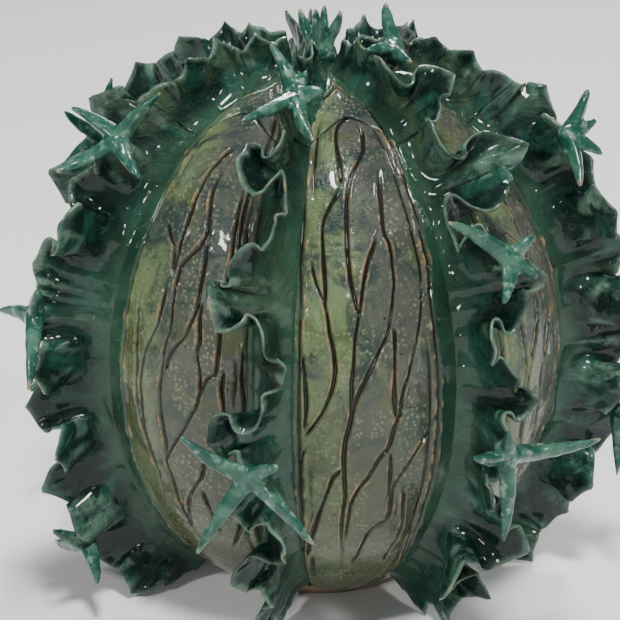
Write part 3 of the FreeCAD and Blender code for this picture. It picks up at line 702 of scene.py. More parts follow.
@dataclass
class LidDome:
    """The carved dome of the lid, down to its slanted seat."""

    relief: Relief
    wall: WallGore
    columns: int = 560
    rows: int = 96
    inner_rows: int = 12
    gap: float = -0.18
    first_azimuth: float = -62.5
    pole_rise: float = 0.3

    def build(self) -> bpy.types.Object:
        """Builds the dome as rings from the outer pole down to the seat and back up inside.

        Returns:
            The closed mesh.
        """
        globe = self.relief.globe
        around = np.linspace(0.0, 360.0, self.columns, endpoint=False) + self.first_azimuth
        blank = np.zeros(around.shape)
        first = globe.seat_station(around, blank, self.gap)[None, :]
        down = np.linspace(0.0, 1.0, self.rows + 1)[1:, None]
        station = down * first
        azimuth = np.broadcast_to(around[None, :], station.shape)
        height, marks = self.relief.evaluate(azimuth, station)
        outer = globe.point(azimuth, station, height * smooth(1.0, 0.992, down))
        top = globe.seat_station(around, blank - self.wall.thickness, self.gap)[None, :]
        back = np.linspace(1.0, 0.0, self.inner_rows + 1)[:-1, None] * top
        inner = self.wall.inner_point(np.broadcast_to(around[None, :], back.shape), back)
        rings = np.concatenate([outer, inner])
        poles = np.concatenate([globe.point(np.zeros(1), np.zeros(1), np.full(1, self.pole_rise)),
                                self.wall.inner_point(np.zeros(1), np.zeros(1))])
        points = np.concatenate([rings.reshape(-1, 3), poles])
        rows, columns = rings.shape[:2]
        quads = grid_quads(rows, columns, True)
        ring = np.arange(columns)
        last = (rows - 1) * columns
        triangles = np.concatenate([fan(ring, rows * columns, False),
                                    fan(ring + last, rows * columns + 1, True)])
        full = {}
        for name, values in marks.items():
            rest = np.zeros(inner.shape[:2]) + (0.5 if name == "across" else 0.0)
            full[name] = np.concatenate([values.ravel(), rest.ravel(), [1.0 if name == "band" else 0.0, 0.0]])
        return make_mesh("carved_crown", points, quads[:, ::-1], triangles, full)


@dataclass
class Turned:
    """A ring or slab turned about the pot's axis from an outline, with a slight hand-made wobble."""

    name: str
    outline: list[tuple[float, float]]
    noise: Noise
    columns: int = 160
    wobble: float = 0.25
    hollow: bool = False

    def build(self) -> bpy.types.Object:
        """Turns the outline, closed on itself if hollow and closed at the axis if not.

        Returns:
            The closed mesh.
        """
        outline = np.array(self.outline, float)
        turn = np.radians(np.linspace(0.0, 360.0, self.columns, endpoint=False))
        radius = outline[:, 0][:, None]
        level = np.broadcast_to(outline[:, 1][:, None], (len(outline), self.columns))
        plain = np.stack([radius * np.sin(turn), -radius * np.cos(turn), level], axis=-1)
        radius = radius + self.wobble * self.noise.at(plain, 14.0)
        points = np.stack([radius * np.sin(turn), -radius * np.cos(turn), level], axis=-1)
        rows = len(outline)
        if self.hollow:
            points = np.concatenate([points, points[:1]])
            quads = grid_quads(rows + 1, self.columns, True)
            quads = np.where(quads >= rows * self.columns, quads - rows * self.columns, quads)
            flat = points[:-1].reshape(-1, 3)
            return make_mesh(self.name, flat, quads, np.zeros((0, 3), int), {})
        ends = np.array([[0.0, 0.0, outline[0, 1]], [0.0, 0.0, outline[-1, 1]]])
        flat = np.concatenate([points.reshape(-1, 3), ends])
        ring = np.arange(self.columns)
        first, last = rows * self.columns, rows * self.columns + 1
        triangles = np.concatenate([fan(ring, first, True),
                                    fan(ring + (rows - 1) * self.columns, last, False)])
        return make_mesh(self.name, flat, grid_quads(rows, self.columns, True), triangles, {})


# ---------------------------------------------------------------- ruffles


@dataclass
class Ruffle:
    """A rib's strip of clay, thrown into folds, pinched thin at its edge and flared at its root."""

    globe: Globe
    rib: int
    across_count: int = 26
    root_depth: float = 2.0
    lean_power: float = 1.6
    overhang: float = 6.0
    tip_rise: float = 4.2
    dip: float = 3.0
    ripple: float = 1.2
    ripple_pitch: float = 7.0
    rim_half: float = 0.6
    root_half: float = 1.35
    flare: float = 7.5
    flare_fall: float = 4.2
    flare_share: float = 0.42
    rib_spacing: float = 51.0
    clearance: float = 0.6
    crown_end: float = 8.0
    crown_free: float = 13.0
    foot_free: float = 139.0
    foot_end: float = 146.0
    seat_station: float = 37.3
    seat_width: float = 2.6
    seat_height: float = 27.0
    seat_gap: float = 0.15
    rib_offset: float = 7.0
    coarse_size: float = 11.0
    fine_size: float = 3.6
    coarse_sway: float = 3.8
    fine_sway: float = 0.9
    dents: tuple[tuple[float, float], ...] = ((7.0, 0.75), (2.6, 0.22))

    def folds(self, station: Array) -> dict[str, Array]:
        """How the edge runs from fold to fold.

        Args:
            station: degrees.

        Returns:
            soft: lean eased round each fold; sharp: lean that turns at a corner in each fold; height;
            loop: how far the edge overhangs along the rib; near: distance to the nearest fold; sag: how
            far the edge hangs between two folds, 0 to 1.
        """
        table = np.array(FOLDS[self.rib], float)
        index = np.clip(np.searchsorted(table[:, 0], station, side="right") - 1, 0, len(table) - 2)
        start, end = table[index], table[index + 1]
        share = np.clip((station - start[..., 0]) / (end[..., 0] - start[..., 0]), 0.0, 1.0)
        eased = share * share * (3.0 - 2.0 * share)
        gap = self.globe.run(end[..., 0]) - self.globe.run(start[..., 0])
        change = end[..., 1] - start[..., 1]
        return {
            "soft": start[..., 1] + change * eased,
            "sharp": start[..., 1] + change * share,
            "height": start[..., 2] + (end[..., 2] - start[..., 2]) * eased,
            "loop": np.sin(2 * np.pi * share) * np.clip(np.abs(change) / 22.0, 0.0, 1.2),
            "near": np.minimum(share, 1.0 - share) * gap,
            "sag": 4.0 * share * (1.0 - share) * np.clip(gap / 14.0, 0.4, 1.2),
        }

    def middle(self, station: Array, level: Array) -> Array:
        """The middle surface at each station and level; level 0 is the buried root and 1 the edge.

        A point stands h = -depth + (H + depth) level over the wall.  With f = h / H, held to 0..1, it is
        moved sideways by lean f^1.6 and a small ripple, and along the rib by overhang sin(2 pi share)
        f^2, which makes each fold wider than its neck.  H rises to a point in each fold and sags between
        folds, by amounts that the noise varies from one to the next.

        Args:
            station: degrees.
            level: 0 to 1.

        Returns:
            (..., 3) positions.
        """
        globe, fold = self.globe, self.folds(station)
        azimuth = RIB_AZIMUTHS[self.rib]
        seat = 1.0 - np.exp(-(((station - self.seat_station) / self.seat_width) ** 2))
        loose = (smooth(self.foot_end, self.foot_free, station)
                 * smooth(self.crown_end, self.crown_free, station) * seat)
        spot = globe.point(azimuth, station, fold["height"]) + self.rib_offset * self.rib
        coarse, fine = globe.noise.at(spot, self.coarse_size), globe.noise.at(spot, self.fine_size)
        point = self.tip_rise * np.exp(-fold["near"] / 1.7) * (1.0 + 0.9 * coarse)
        height = fold["height"] + (point - self.dip * fold["sag"] * (1.0 + 0.8 * coarse) + 0.8 * fine) * loose
        rise = -self.root_depth + (height + self.root_depth) * level
        free = np.clip(rise / np.maximum(height, 1.0), 0.0, 1.0)
        shift = self.overhang * fold["loop"] * free**2 * loose
        pace = np.gradient(globe.run(np.linspace(0, 180, 181)))
        moved = station + shift / np.interp(station, np.linspace(0, 180, 181), pace)
        base = globe.point(azimuth, moved, rise)
        lean = fold["soft"] + (fold["sharp"] - fold["soft"]) * free**2 * loose
        wave = np.sin(2 * np.pi * globe.run(station) / self.ripple_pitch + 4.0 * coarse + self.rib)
        side = lean * free**self.lean_power
        side = side + (self.ripple * wave * free**3 + self.coarse_sway * coarse * free**2
                       + self.fine_sway * fine * free**3) * loose
        turn = math.radians(azimuth)
        sideways = np.array([math.cos(turn), math.sin(turn), 0.0])
        return base + side[..., None] * sideways

    def half_thickness(self, station: Array, level: Array) -> Array:
        """Half the strip's thickness: thin at the edge, flared like a fillet where it meets the wall."""
        height = self.folds(station)["height"]
        rise = np.maximum(-self.root_depth + (height + self.root_depth) * level, 0.0)
        body = self.rim_half + self.root_half * (1.0 - level) ** 0.8
        spacing = math.radians(self.rib_spacing)
        room = self.globe.belly_radius * np.sin(np.radians(station)) * spacing * self.flare_share
        flare = np.minimum(self.flare, room) * np.clip(height / 20.0, 0.3, 1.0)
        return body + flare * np.exp(-rise / self.flare_fall)

    def build(self, name: str, above: bool, count: int) -> bpy.types.Object:
        """Builds the strip on one side of the lid's seat as a closed tube of flattened rings.

        Args:
            name: name of the piece.
            above: whether this is the lid's part, above the seat.
            count: number of rings along the rib.

        Returns:
            The closed mesh.
        """
        level = np.linspace(0.0, 1.0, self.across_count) ** 0.9
        azimuth = np.full(level.shape, RIB_AZIMUTHS[self.rib])
        rise = -self.root_depth + (self.seat_height + self.root_depth) * level
        parting = self.globe.seat_station(azimuth, rise, -self.seat_gap if above else self.seat_gap)
        first = np.full(level.shape, self.crown_end) if above else parting
        last = parting if above else np.full(level.shape, self.foot_end)
        down = np.linspace(0.0, 1.0, count)[:, None]
        station = first[None, :] + down * (last - first)[None, :]
        levels = np.broadcast_to(level[None, :], station.shape)
        middle = self.middle(station, levels)
        along = np.gradient(middle, axis=0)
        up = np.gradient(middle, axis=1)
        normal = unit(np.cross(along, up))
        half = self.half_thickness(station, levels)
        skin = sum(self.globe.noise.at(middle, size) * depth for size, depth in self.dents)
        left = middle - normal * (half + skin * levels)[..., None]
        right = middle + normal * (half - skin * levels)[..., None]
        rim = middle[:, -1] + unit(up[:, -1]) * half[:, -1][:, None]
        ring = np.concatenate([left, rim[:, None], right[:, ::-1]], axis=1)
        ring[..., 2] = np.maximum(ring[..., 2], self.clearance)
        rows, columns = ring.shape[:2]
        # Hollowness of each face of the strip; the glaze turns it into glaze pooling and painted shade in the
        # folds.
        pool_and_shade = self.pool_and_shade(middle, normal)
        marks = {
            "rim": np.concatenate([levels, np.ones((rows, 1)), levels[:, ::-1]], axis=1),
            "pool_and_shade": np.concatenate([pool_and_shade, np.zeros((rows, 1)), -pool_and_shade[:, ::-1]], axis=1),
        }
        ends = np.stack([middle[0].mean(axis=0), middle[-1].mean(axis=0)])
        points = np.concatenate([ring.reshape(-1, 3), ends])
        loop = np.arange(columns)
        triangles = np.concatenate([fan(loop, rows * columns, True),
                                    fan(loop + (rows - 1) * columns, rows * columns + 1, False)])
        full = {key: np.concatenate([values.ravel(), [0.5, 0.5]]) for key, values in marks.items()}
        return make_mesh(name, points, grid_quads(rows, columns, True), triangles, full)

    def pool_and_shade(self, middle: Array, normal: Array) -> Array:
        """How hollow the left face is: the blurred surface less the surface, along the normal. The glaze
        darkens the hollows by it, partly as glaze pooling and partly as painted shade.
        """
        soft = blurred(blurred(middle, 8, 0), 3, 1)
        return np.clip(-np.sum((soft - middle) * normal, axis=-1) / 1.2, -1.0, 1.0)


# ---------------------------------------------------------------- spines


@dataclass
class Spine:
    """One tapered roll of clay, bent at its knee, with pinched ridges along it."""

    start: Array
    knee: Array
    tip: Array
    root_radius: float = 4.4
    tip_radius: float = 0.7
    columns: int = 20
    rows: int = 26

    def rings(self, noise: Noise) -> Array:
        """Rings of points round a quadratic curve through the knee.

        The radius falls as root (1 - s)^0.75 + tip s, and swells and pinches by a three-lobed ridge.

        Args:
            noise: noise that roughens the roll.

        Returns:
            (rows, columns, 3) positions.
        """
        share = np.linspace(0.0, 1.0, self.rows)[:, None]
        pull = 2 * self.knee - (self.start + self.tip) / 2
        spine = (1 - share) ** 2 * self.start + 2 * share * (1 - share) * pull + share**2 * self.tip
        ahead = unit(np.gradient(spine, axis=0))
        aside = unit(np.cross(ahead, np.array([0.31, 0.22, 0.92])))
        over = np.cross(ahead, aside)
        turn = np.linspace(0.0, 2 * np.pi, self.columns, endpoint=False)[None, :]
        radius = self.root_radius * (1 - share) ** 0.75 + self.tip_radius * share
        ridge = 1.0 + 0.16 * np.cos(3 * turn + 2.5 * share + self.start[0])
        circle = np.cos(turn)[..., None] * aside[:, None] + np.sin(turn)[..., None] * over[:, None]
        points = spine[:, None] + (radius * ridge)[..., None] * circle
        return points + circle * (0.35 * noise.at(points, 4.0))[..., None]


@dataclass
class SpineStar:
    """A hub with its spines, smoothed into one skin of clay."""

    globe: Globe
    name: str
    rib: int
    station: float
    sideways: float
    height: float
    turn: float
    spines: list[tuple[float, float, float, float]]
    voxel: float = 0.85

    def hub(self) -> Array:
        """The middle of the star, off the edge of its ruffle."""
        azimuth = RIB_AZIMUTHS[self.rib]
        turn = math.radians(azimuth)
        side = np.array([math.cos(turn), math.sin(turn), 0.0]) * self.sideways
        return self.globe.point(np.array(azimuth), np.array(self.station), np.array(self.height)) + side

    def axes(self) -> tuple[Array, Array, Array]:
        """Up the rib, sideways, and out of the star's face, turned about the first."""
        azimuth = math.radians(RIB_AZIMUTHS[self.rib])
        out_part, up_part = self.globe.normal_parts(np.array(self.station))
        away = np.array([math.sin(azimuth), -math.cos(azimuth), 0.0])
        side = np.array([math.cos(azimuth), math.sin(azimuth), 0.0])
        out = away * out_part + np.array([0.0, 0.0, up_part])
        up = -away * up_part + np.array([0.0, 0.0, out_part])
        swing = math.radians(self.turn)
        cross_side, cross_out = np.cross(up, side), np.cross(up, out)
        return (up, side * math.cos(swing) + cross_side * math.sin(swing),
                out * math.cos(swing) + cross_out * math.sin(swing))

    def direction(self, angle: float, lift: float) -> Array:
        """A unit vector at an angle in the star's face, lifted out of it."""
        up, side, out = self.axes()
        turn, rise = math.radians(angle), math.radians(lift)
        return (up * math.cos(turn) + side * math.sin(turn)) * math.cos(rise) + out * math.sin(rise)

    def build(self) -> bpy.types.Object:
        """Joins the spines and the hub, remeshes them as one skin and marks how far out each point is.

        Returns:
            The closed mesh.
        """
        hub = self.hub()
        parts = [self.ball(hub, 5.2)]
        for angle, length, lift, bend in self.spines:
            knee = hub + self.direction(angle, lift) * length * 0.55
            tip = knee + self.direction(angle + bend, lift - bend / 2) * length * 0.45
            parts.append(Spine(hub, knee, tip).rings(self.globe.noise))
        reach = max(spine[1] for spine in self.spines)
        piece = join_tubes(self.name, parts)
        return remeshed(piece, self.voxel, hub, reach)

    @staticmethod
    def ball(centre: Array, radius: float) -> Array:
        """A ball as rings of points: radius sin and cos of two angles."""
        down = np.linspace(0.15, np.pi - 0.15, 12)[:, None]
        turn = np.linspace(0.0, 2 * np.pi, 20, endpoint=False)[None, :]
        shape = np.stack(np.broadcast_arrays(np.sin(down) * np.cos(turn), np.sin(down) * np.sin(turn),
                                             -np.cos(down)), axis=-1)
        return centre + radius * shape


def join_tubes(name: str, parts: list[Array]) -> bpy.types.Object:
    """Several closed tubes of rings as one mesh, each with a point at either end.

    Args:
        name: name of the piece.
        parts: (rows, columns, 3) positions of each tube.

    Returns:
        The mesh object.
    """
    points, quads, triangles, total = [], [], [], 0
    for rings in parts:
        rows, columns = rings.shape[:2]
        ends = np.stack([rings[0].mean(axis=0), rings[-1].mean(axis=0)])
        loop = np.arange(columns) + total
        last = total + rows * columns
        points += [rings.reshape(-1, 3), ends]
        quads.append(grid_quads(rows, columns, True, total))
        triangles += [fan(loop, last, True), fan(loop + (rows - 1) * columns, last + 1, False)]
        total = last + 2
    return make_mesh(name, np.concatenate(points), np.concatenate(quads), np.concatenate(triangles), {})


def remeshed(piece: bpy.types.Object, voxel: float, hub: Array, reach: float) -> bpy.types.Object:
    """Turns overlapping tubes into one smooth skin, and marks each point's share of the reach.

    Args:
        piece: object made of overlapping closed tubes.
        voxel: size of the remesh in millimetres.
        hub: middle of the star.
        reach: length of its longest spine.

    Returns:
        The same object with its new mesh.
    """
    remesh = piece.modifiers.new("skin", "REMESH")
    remesh.mode = "VOXEL"
    remesh.voxel_size = voxel * MM
    soften = piece.modifiers.new("soften", "SMOOTH")
    soften.factor = 0.5
    soften.iterations = 3
    bpy.context.view_layer.update()
    solid = piece.evaluated_get(bpy.context.evaluated_depsgraph_get())
    skin = bpy.data.meshes.new_from_object(solid)
    piece.modifiers.clear()
    old = piece.data
    piece.data = skin
    bpy.data.meshes.remove(old)
    skin.name = piece.name
    places = np.empty(len(skin.vertices) * 3, np.float32)
    skin.vertices.foreach_get("co", places)
    away = np.linalg.norm(places.reshape(-1, 3) / MM - hub, axis=1)
    layer = skin.attributes.new("out", "FLOAT", "POINT")
    layer.data.foreach_set("value", (away / reach).astype(np.float32))
    skin.polygons.foreach_set("use_smooth", np.ones(len(skin.polygons), bool))
    return piece


@dataclass
class CrownBud:
    """The bud at the pole that the lid is lifted by, with its upright spikes."""

    globe: Globe
    level: float = 260.0
    radius: float = 9.5
    spike_length: float = 24.0
    spike_radius: float = 4.0

    def build(self) -> bpy.types.Object:
        """Joins a squat core and the spikes as one skin.

        Returns:
            The closed mesh.
        """
        centre = np.array([0.0, 0.0, self.level])
        core = SpineStar.ball(centre, self.radius * 0.86)
        parts = [core]
        for azimuth, tilt in BUD_SPIKES:
            turn, lean = math.radians(azimuth), math.radians(tilt)
            way = np.array([math.sin(turn) * math.sin(lean), -math.cos(turn) * math.sin(lean),
                            math.cos(lean)])
            bow = np.array([math.sin(turn), -math.cos(turn), 0.0]) * 1.5
            parts.append(Spine(centre + way * 2.0, centre + way * self.spike_length * 0.55 + bow,
                               centre + way * self.spike_length, self.spike_radius).rings(self.globe.noise))
        return remeshed(join_tubes("crown_spikes", parts), 0.8, centre, self.spike_length)


# ---------------------------------------------------------------- glazes


class Nodes:
    """Short ways to add and link shader nodes."""

    def __init__(self, name: str) -> None:
        """Starts a material with a Principled shader.

        Args:
            name: name of the material.
        """
        self.material = bpy.data.materials.new(name)
        self.material.use_nodes = True
        self.tree = self.material.node_tree
        self.shader = self.tree.nodes["Principled BSDF"]
        self.place = self.tree.nodes.new("ShaderNodeTexCoord").outputs["Object"]

    def mark(self, name: str) -> bpy.types.NodeSocket:
        """A value stored on the mesh."""
        node = self.tree.nodes.new("ShaderNodeAttribute")
        node.attribute_name = name
        return node.outputs["Fac"]

    def noise(self, scale: float, detail: float = 3.0, rough: float = 0.55,
              warp: float = 0.0) -> bpy.types.NodeSocket:
        """Fractal noise on Object coordinates, in cells per metre."""
        node = self.tree.nodes.new("ShaderNodeTexNoise")
        node.inputs["Scale"].default_value = scale
        node.inputs["Detail"].default_value = detail
        node.inputs["Roughness"].default_value = rough
        node.inputs["Distortion"].default_value = warp
        self.tree.links.new(self.place, node.inputs["Vector"])
        return node.outputs["Fac"]

    def cells(self, scale: float) -> bpy.types.NodeSocket:
        """Distance to the nearest of scattered points, in cells per metre."""
        node = self.tree.nodes.new("ShaderNodeTexVoronoi")
        node.inputs["Scale"].default_value = scale
        self.tree.links.new(self.place, node.inputs["Vector"])
        return node.outputs["Distance"]

    def ramp(self, value: bpy.types.NodeSocket, low: float, high: float, bottom: float = 0.0,
             top: float = 1.0) -> bpy.types.NodeSocket:
        """Maps low..high onto bottom..top smoothly, held at both ends."""
        node = self.tree.nodes.new("ShaderNodeMapRange")
        node.interpolation_type = "SMOOTHSTEP"
        for name, number in (("From Min", low), ("From Max", high), ("To Min", bottom), ("To Max", top)):
            node.inputs[name].default_value = number
        self.tree.links.new(value, node.inputs["Value"])
        return node.outputs["Result"]

    def math(self, kind: str, a: bpy.types.NodeSocket | float,
             b: bpy.types.NodeSocket | float) -> bpy.types.NodeSocket:
        """One step of arithmetic."""
        node = self.tree.nodes.new("ShaderNodeMath")
        node.operation = kind
        for socket, value in zip(node.inputs, (a, b)):
            self.feed(socket, value)
        return node.outputs["Value"]

    def mix(self, amount: bpy.types.NodeSocket | float, a: object, b: object) -> bpy.types.NodeSocket:
        """Colour a turning into colour b."""
        node = self.tree.nodes.new("ShaderNodeMix")
        node.data_type = "RGBA"
        self.feed(node.inputs["Factor"], amount)
        self.feed(node.inputs[6], a)
        self.feed(node.inputs[7], b)
        return node.outputs[2]

    def feed(self, socket: bpy.types.NodeSocket, value: object) -> None:
        """Links a socket to another, or sets it to a number or colour."""
        if isinstance(value, bpy.types.NodeSocket):
            self.tree.links.new(value, socket)
        elif isinstance(value, tuple):
            socket.default_value = (*value, 1.0)
        else:
            socket.default_value = value

    def bump(self, height: bpy.types.NodeSocket, depth: float, strength: float) -> None:
        """Roughens the surface by a height field.

        Args:
            height: value from 0 to 1.
            depth: depth in metres of a full step.
            strength: how strongly it shows.
        """
        node = self.tree.nodes.new("ShaderNodeBump")
        node.inputs["Strength"].default_value = strength
        node.inputs["Distance"].default_value = depth
        self.tree.links.new(height, node.inputs["Height"])
        self.tree.links.new(node.outputs["Normal"], self.shader.inputs["Normal"])

    def gloss(self, coat: float, coat_roughness: float) -> None:
        """The clear layer of glass over the colour."""
        self.shader.inputs["Coat Weight"].default_value = coat
        self.shader.inputs["Coat Roughness"].default_value = coat_roughness
        self.shader.inputs["Coat IOR"].default_value = 1.36
        self.shader.inputs["Specular IOR Level"].default_value = 0.1


@dataclass(frozen=True)
class PanelGlaze:
    """Sage green on the left of a panel, breaking to grey violet, with oil spots and dark cuts."""

    sage: tuple[float, float, float] = (0.112, 0.152, 0.070)
    violet: tuple[float, float, float] = (0.062, 0.066, 0.055)
    slate: tuple[float, float, float] = (0.026, 0.040, 0.038)
    leaf: tuple[float, float, float] = (0.035, 0.090, 0.040)
    olive: tuple[float, float, float] = (0.060, 0.072, 0.030)
    haze: tuple[float, float, float] = (0.125, 0.145, 0.105)
    deep: tuple[float, float, float] = (0.012, 0.040, 0.026)
    band: tuple[float, float, float] = (0.034, 0.082, 0.044)
    cut: tuple[float, float, float] = (0.014, 0.010, 0.006)
    burr: tuple[float, float, float] = (0.245, 0.165, 0.082)
    spot: tuple[float, float, float] = (0.17, 0.215, 0.11)

    def build(self) -> bpy.types.Material:
        """Makes the material.

        Returns:
            The glaze.
        """
        n = Nodes("panel_glaze")
        across, band, groove, burr = n.mark("across"), n.mark("band"), n.mark("groove"), n.mark("burr")
        drift = n.math("ADD", across, n.math("MULTIPLY", n.math("SUBTRACT", n.noise(14.0, 4.0), 0.5), 0.55))
        body = n.mix(n.ramp(drift, 0.30, 0.50), self.sage, self.violet)
        patches = n.math("MULTIPLY", n.ramp(n.noise(27.0, 6.0, 0.66, 1.0), 0.50, 0.64), 0.8)
        body = n.mix(patches, body, self.olive)
        body = n.mix(n.ramp(n.noise(38.0, 6.0, 0.66, 1.0), 0.46, 0.64), body, self.slate)
        mist = n.math("MULTIPLY", n.ramp(n.noise(75.0, 6.0, 0.65, 0.8), 0.50, 0.72), 0.55)
        body = n.mix(mist, body, self.haze)
        edge = n.math("ADD", across, n.math("MULTIPLY", n.noise(30.0), 0.2))
        body = n.mix(n.ramp(edge, 0.90, 1.08), body, self.leaf)
        below = n.math("MULTIPLY", n.mark("low"), n.ramp(n.noise(20.0, 4.0), 0.3, 0.7, 0.35, 0.85))
        body = n.mix(below, body, self.olive)
        spots = n.math("MULTIPLY", n.ramp(n.cells(430.0), 0.42, 0.22), n.ramp(n.noise(45.0), 0.40, 0.60))
        body = n.mix(n.math("MULTIPLY", spots, 0.55), body, self.spot)
        pits = n.math("MULTIPLY", n.ramp(n.cells(170.0), 0.13, 0.07), n.ramp(n.noise(90.0), 0.5, 0.6))
        body = n.mix(pits, body, self.cut)
        green = n.mix(n.ramp(n.noise(26.0, 4.0), 0.35, 0.68), self.deep, self.band)
        body = n.mix(band, body, green)
        worn = n.math("MULTIPLY", n.ramp(burr, 0.2, 0.95),
                      n.ramp(n.noise(110.0, 5.0), 0.36, 0.62, 0.12, 0.85))
        body = n.mix(worn, body, self.burr)
        body = n.mix(n.ramp(groove, 0.28, 0.66), body, self.cut)
        n.feed(n.shader.inputs["Base Color"], body)
        n.feed(n.shader.inputs["Roughness"], n.ramp(n.noise(60.0), 0.3, 0.7, 0.16, 0.34))
        n.gloss(0.8, 0.05)
        grain = n.math("ADD", n.math("MULTIPLY", n.noise(260.0, 4.0), 0.6),
                       n.math("MULTIPLY", n.ramp(n.cells(620.0), 0.1, 0.5), 0.35))
        n.bump(grain, 0.0005, 0.8)
        return n.material


@dataclass(frozen=True)
class RibGlaze:
    """Deep teal that pools dark in hollows, with painted shade added there, and breaks to mint and tan on
    thin edges.
    """

    deep: tuple[float, float, float] = (0.0025, 0.013, 0.010)
    teal: tuple[float, float, float] = (0.009, 0.052, 0.036)
    moss: tuple[float, float, float] = (0.045, 0.082, 0.044)
    mint: tuple[float, float, float] = (0.13, 0.23, 0.165)
    tan: tuple[float, float, float] = (0.28, 0.24, 0.15)
    umber: tuple[float, float, float] = (0.040, 0.030, 0.015)
    root: tuple[float, float, float] = (0.022, 0.062, 0.036)

    def build(self) -> bpy.types.Material:
        """Makes the material.

        Returns:
            The glaze.
        """
        n = Nodes("rib_glaze")
        rim, pool_and_shade = n.mark("rim"), n.mark("pool_and_shade")
        body = n.mix(n.ramp(n.noise(34.0, 6.0, 0.62, 1.2), 0.42, 0.60), self.deep, self.teal)
        body = n.mix(n.ramp(n.noise(22.0, 4.0, 0.5, 0.4), 0.52, 0.74), body, self.moss)
        body = n.mix(n.math("MULTIPLY", n.ramp(n.noise(17.0, 3.0), 0.62, 0.74), 0.6), body, self.umber)
        pale = n.math("MULTIPLY", n.ramp(pool_and_shade, 0.1, -0.5), n.ramp(n.noise(42.0, 6.0, 0.66, 1.0), 0.46, 0.62))
        body = n.mix(n.math("MULTIPLY", pale, 0.6), body, self.mint)
        low = n.math("ADD", rim, n.math("MULTIPLY", n.noise(40.0, 4.0), 0.4))
        body = n.mix(n.math("MULTIPLY", n.ramp(low, 0.62, 0.22), 0.75), body, self.root)
        # Near black in the hollows of the folds: partly glaze pooling, partly painted shade.
        body = n.mix(n.math("MULTIPLY", n.ramp(pool_and_shade, 0.0, 0.6), 0.9), body, self.deep)
        worn = n.math("ADD", rim, n.math("MULTIPLY", n.math("SUBTRACT", n.noise(120.0, 4.0), 0.5), 0.16))
        thin = n.math("MULTIPLY", n.ramp(worn, 0.90, 1.02), n.ramp(n.noise(48.0, 4.0), 0.38, 0.66, 0.12, 0.8))
        body = n.mix(thin, body, self.mint)
        body = n.mix(n.math("MULTIPLY", n.ramp(worn, 1.0, 1.05), 0.75), body, self.tan)
        n.feed(n.shader.inputs["Base Color"], body)
        n.feed(n.shader.inputs["Roughness"], n.ramp(n.noise(70.0), 0.3, 0.7, 0.10, 0.26))
        n.gloss(0.8, 0.04)
        n.bump(n.noise(120.0, 6.0, 0.6, 0.6), 0.0036, 1.0)
        return n.material


@dataclass(frozen=True)
class SpineGlaze:
    """Thin mint over teal, worn to tan at the tips."""

    teal: tuple[float, float, float] = (0.010, 0.060, 0.042)
    mint: tuple[float, float, float] = (0.050, 0.130, 0.088)
    pale: tuple[float, float, float] = (0.20, 0.31, 0.23)
    tan: tuple[float, float, float] = (0.40, 0.32, 0.20)

    def build(self) -> bpy.types.Material:
        """Makes the material.

        Returns:
            The glaze.
        """
        n = Nodes("spine_glaze")
        out = n.mark("out")
        body = n.mix(n.ramp(n.noise(90.0, 5.0, 0.6, 0.8), 0.42, 0.66), self.teal, self.mint)
        body = n.mix(n.math("MULTIPLY", n.ramp(n.noise(190.0, 4.0), 0.54, 0.70), 0.65), body, self.pale)
        worn = n.math("ADD", out, n.math("MULTIPLY", n.noise(160.0), 0.3))
        body = n.mix(n.math("MULTIPLY", n.ramp(worn, 1.0, 1.2), 0.7), body, self.tan)
        n.feed(n.shader.inputs["Base Color"], body)
        n.feed(n.shader.inputs["Roughness"], n.ramp(n.noise(90.0), 0.3, 0.7, 0.10, 0.25))
        n.gloss(0.9, 0.04)
        n.bump(n.noise(200.0, 5.0, 0.55), 0.0016, 0.9)
        return n.material


@dataclass(frozen=True)
class FootGlaze:
    """Thin brown-green glaze over bare stoneware."""

    thin: tuple[float, float, float] = (0.07, 0.075, 0.04)
    clay: tuple[float, float, float] = (0.24, 0.17, 0.10)

    def build(self) -> bpy.types.Material:
        """Makes the material.

        Returns:
            The glaze.
        """
        n = Nodes("foot_glaze")
        body = n.mix(n.ramp(n.noise(60.0, 5.0, 0.6), 0.4, 0.65), self.thin, self.clay)
        n.feed(n.shader.inputs["Base Color"], body)
        n.feed(n.shader.inputs["Roughness"], n.ramp(n.noise(80.0), 0.3, 0.7, 0.35, 0.6))
        n.bump(n.noise(300.0, 4.0), 0.0004, 0.6)
        return n.material


# ---------------------------------------------------------------- studio


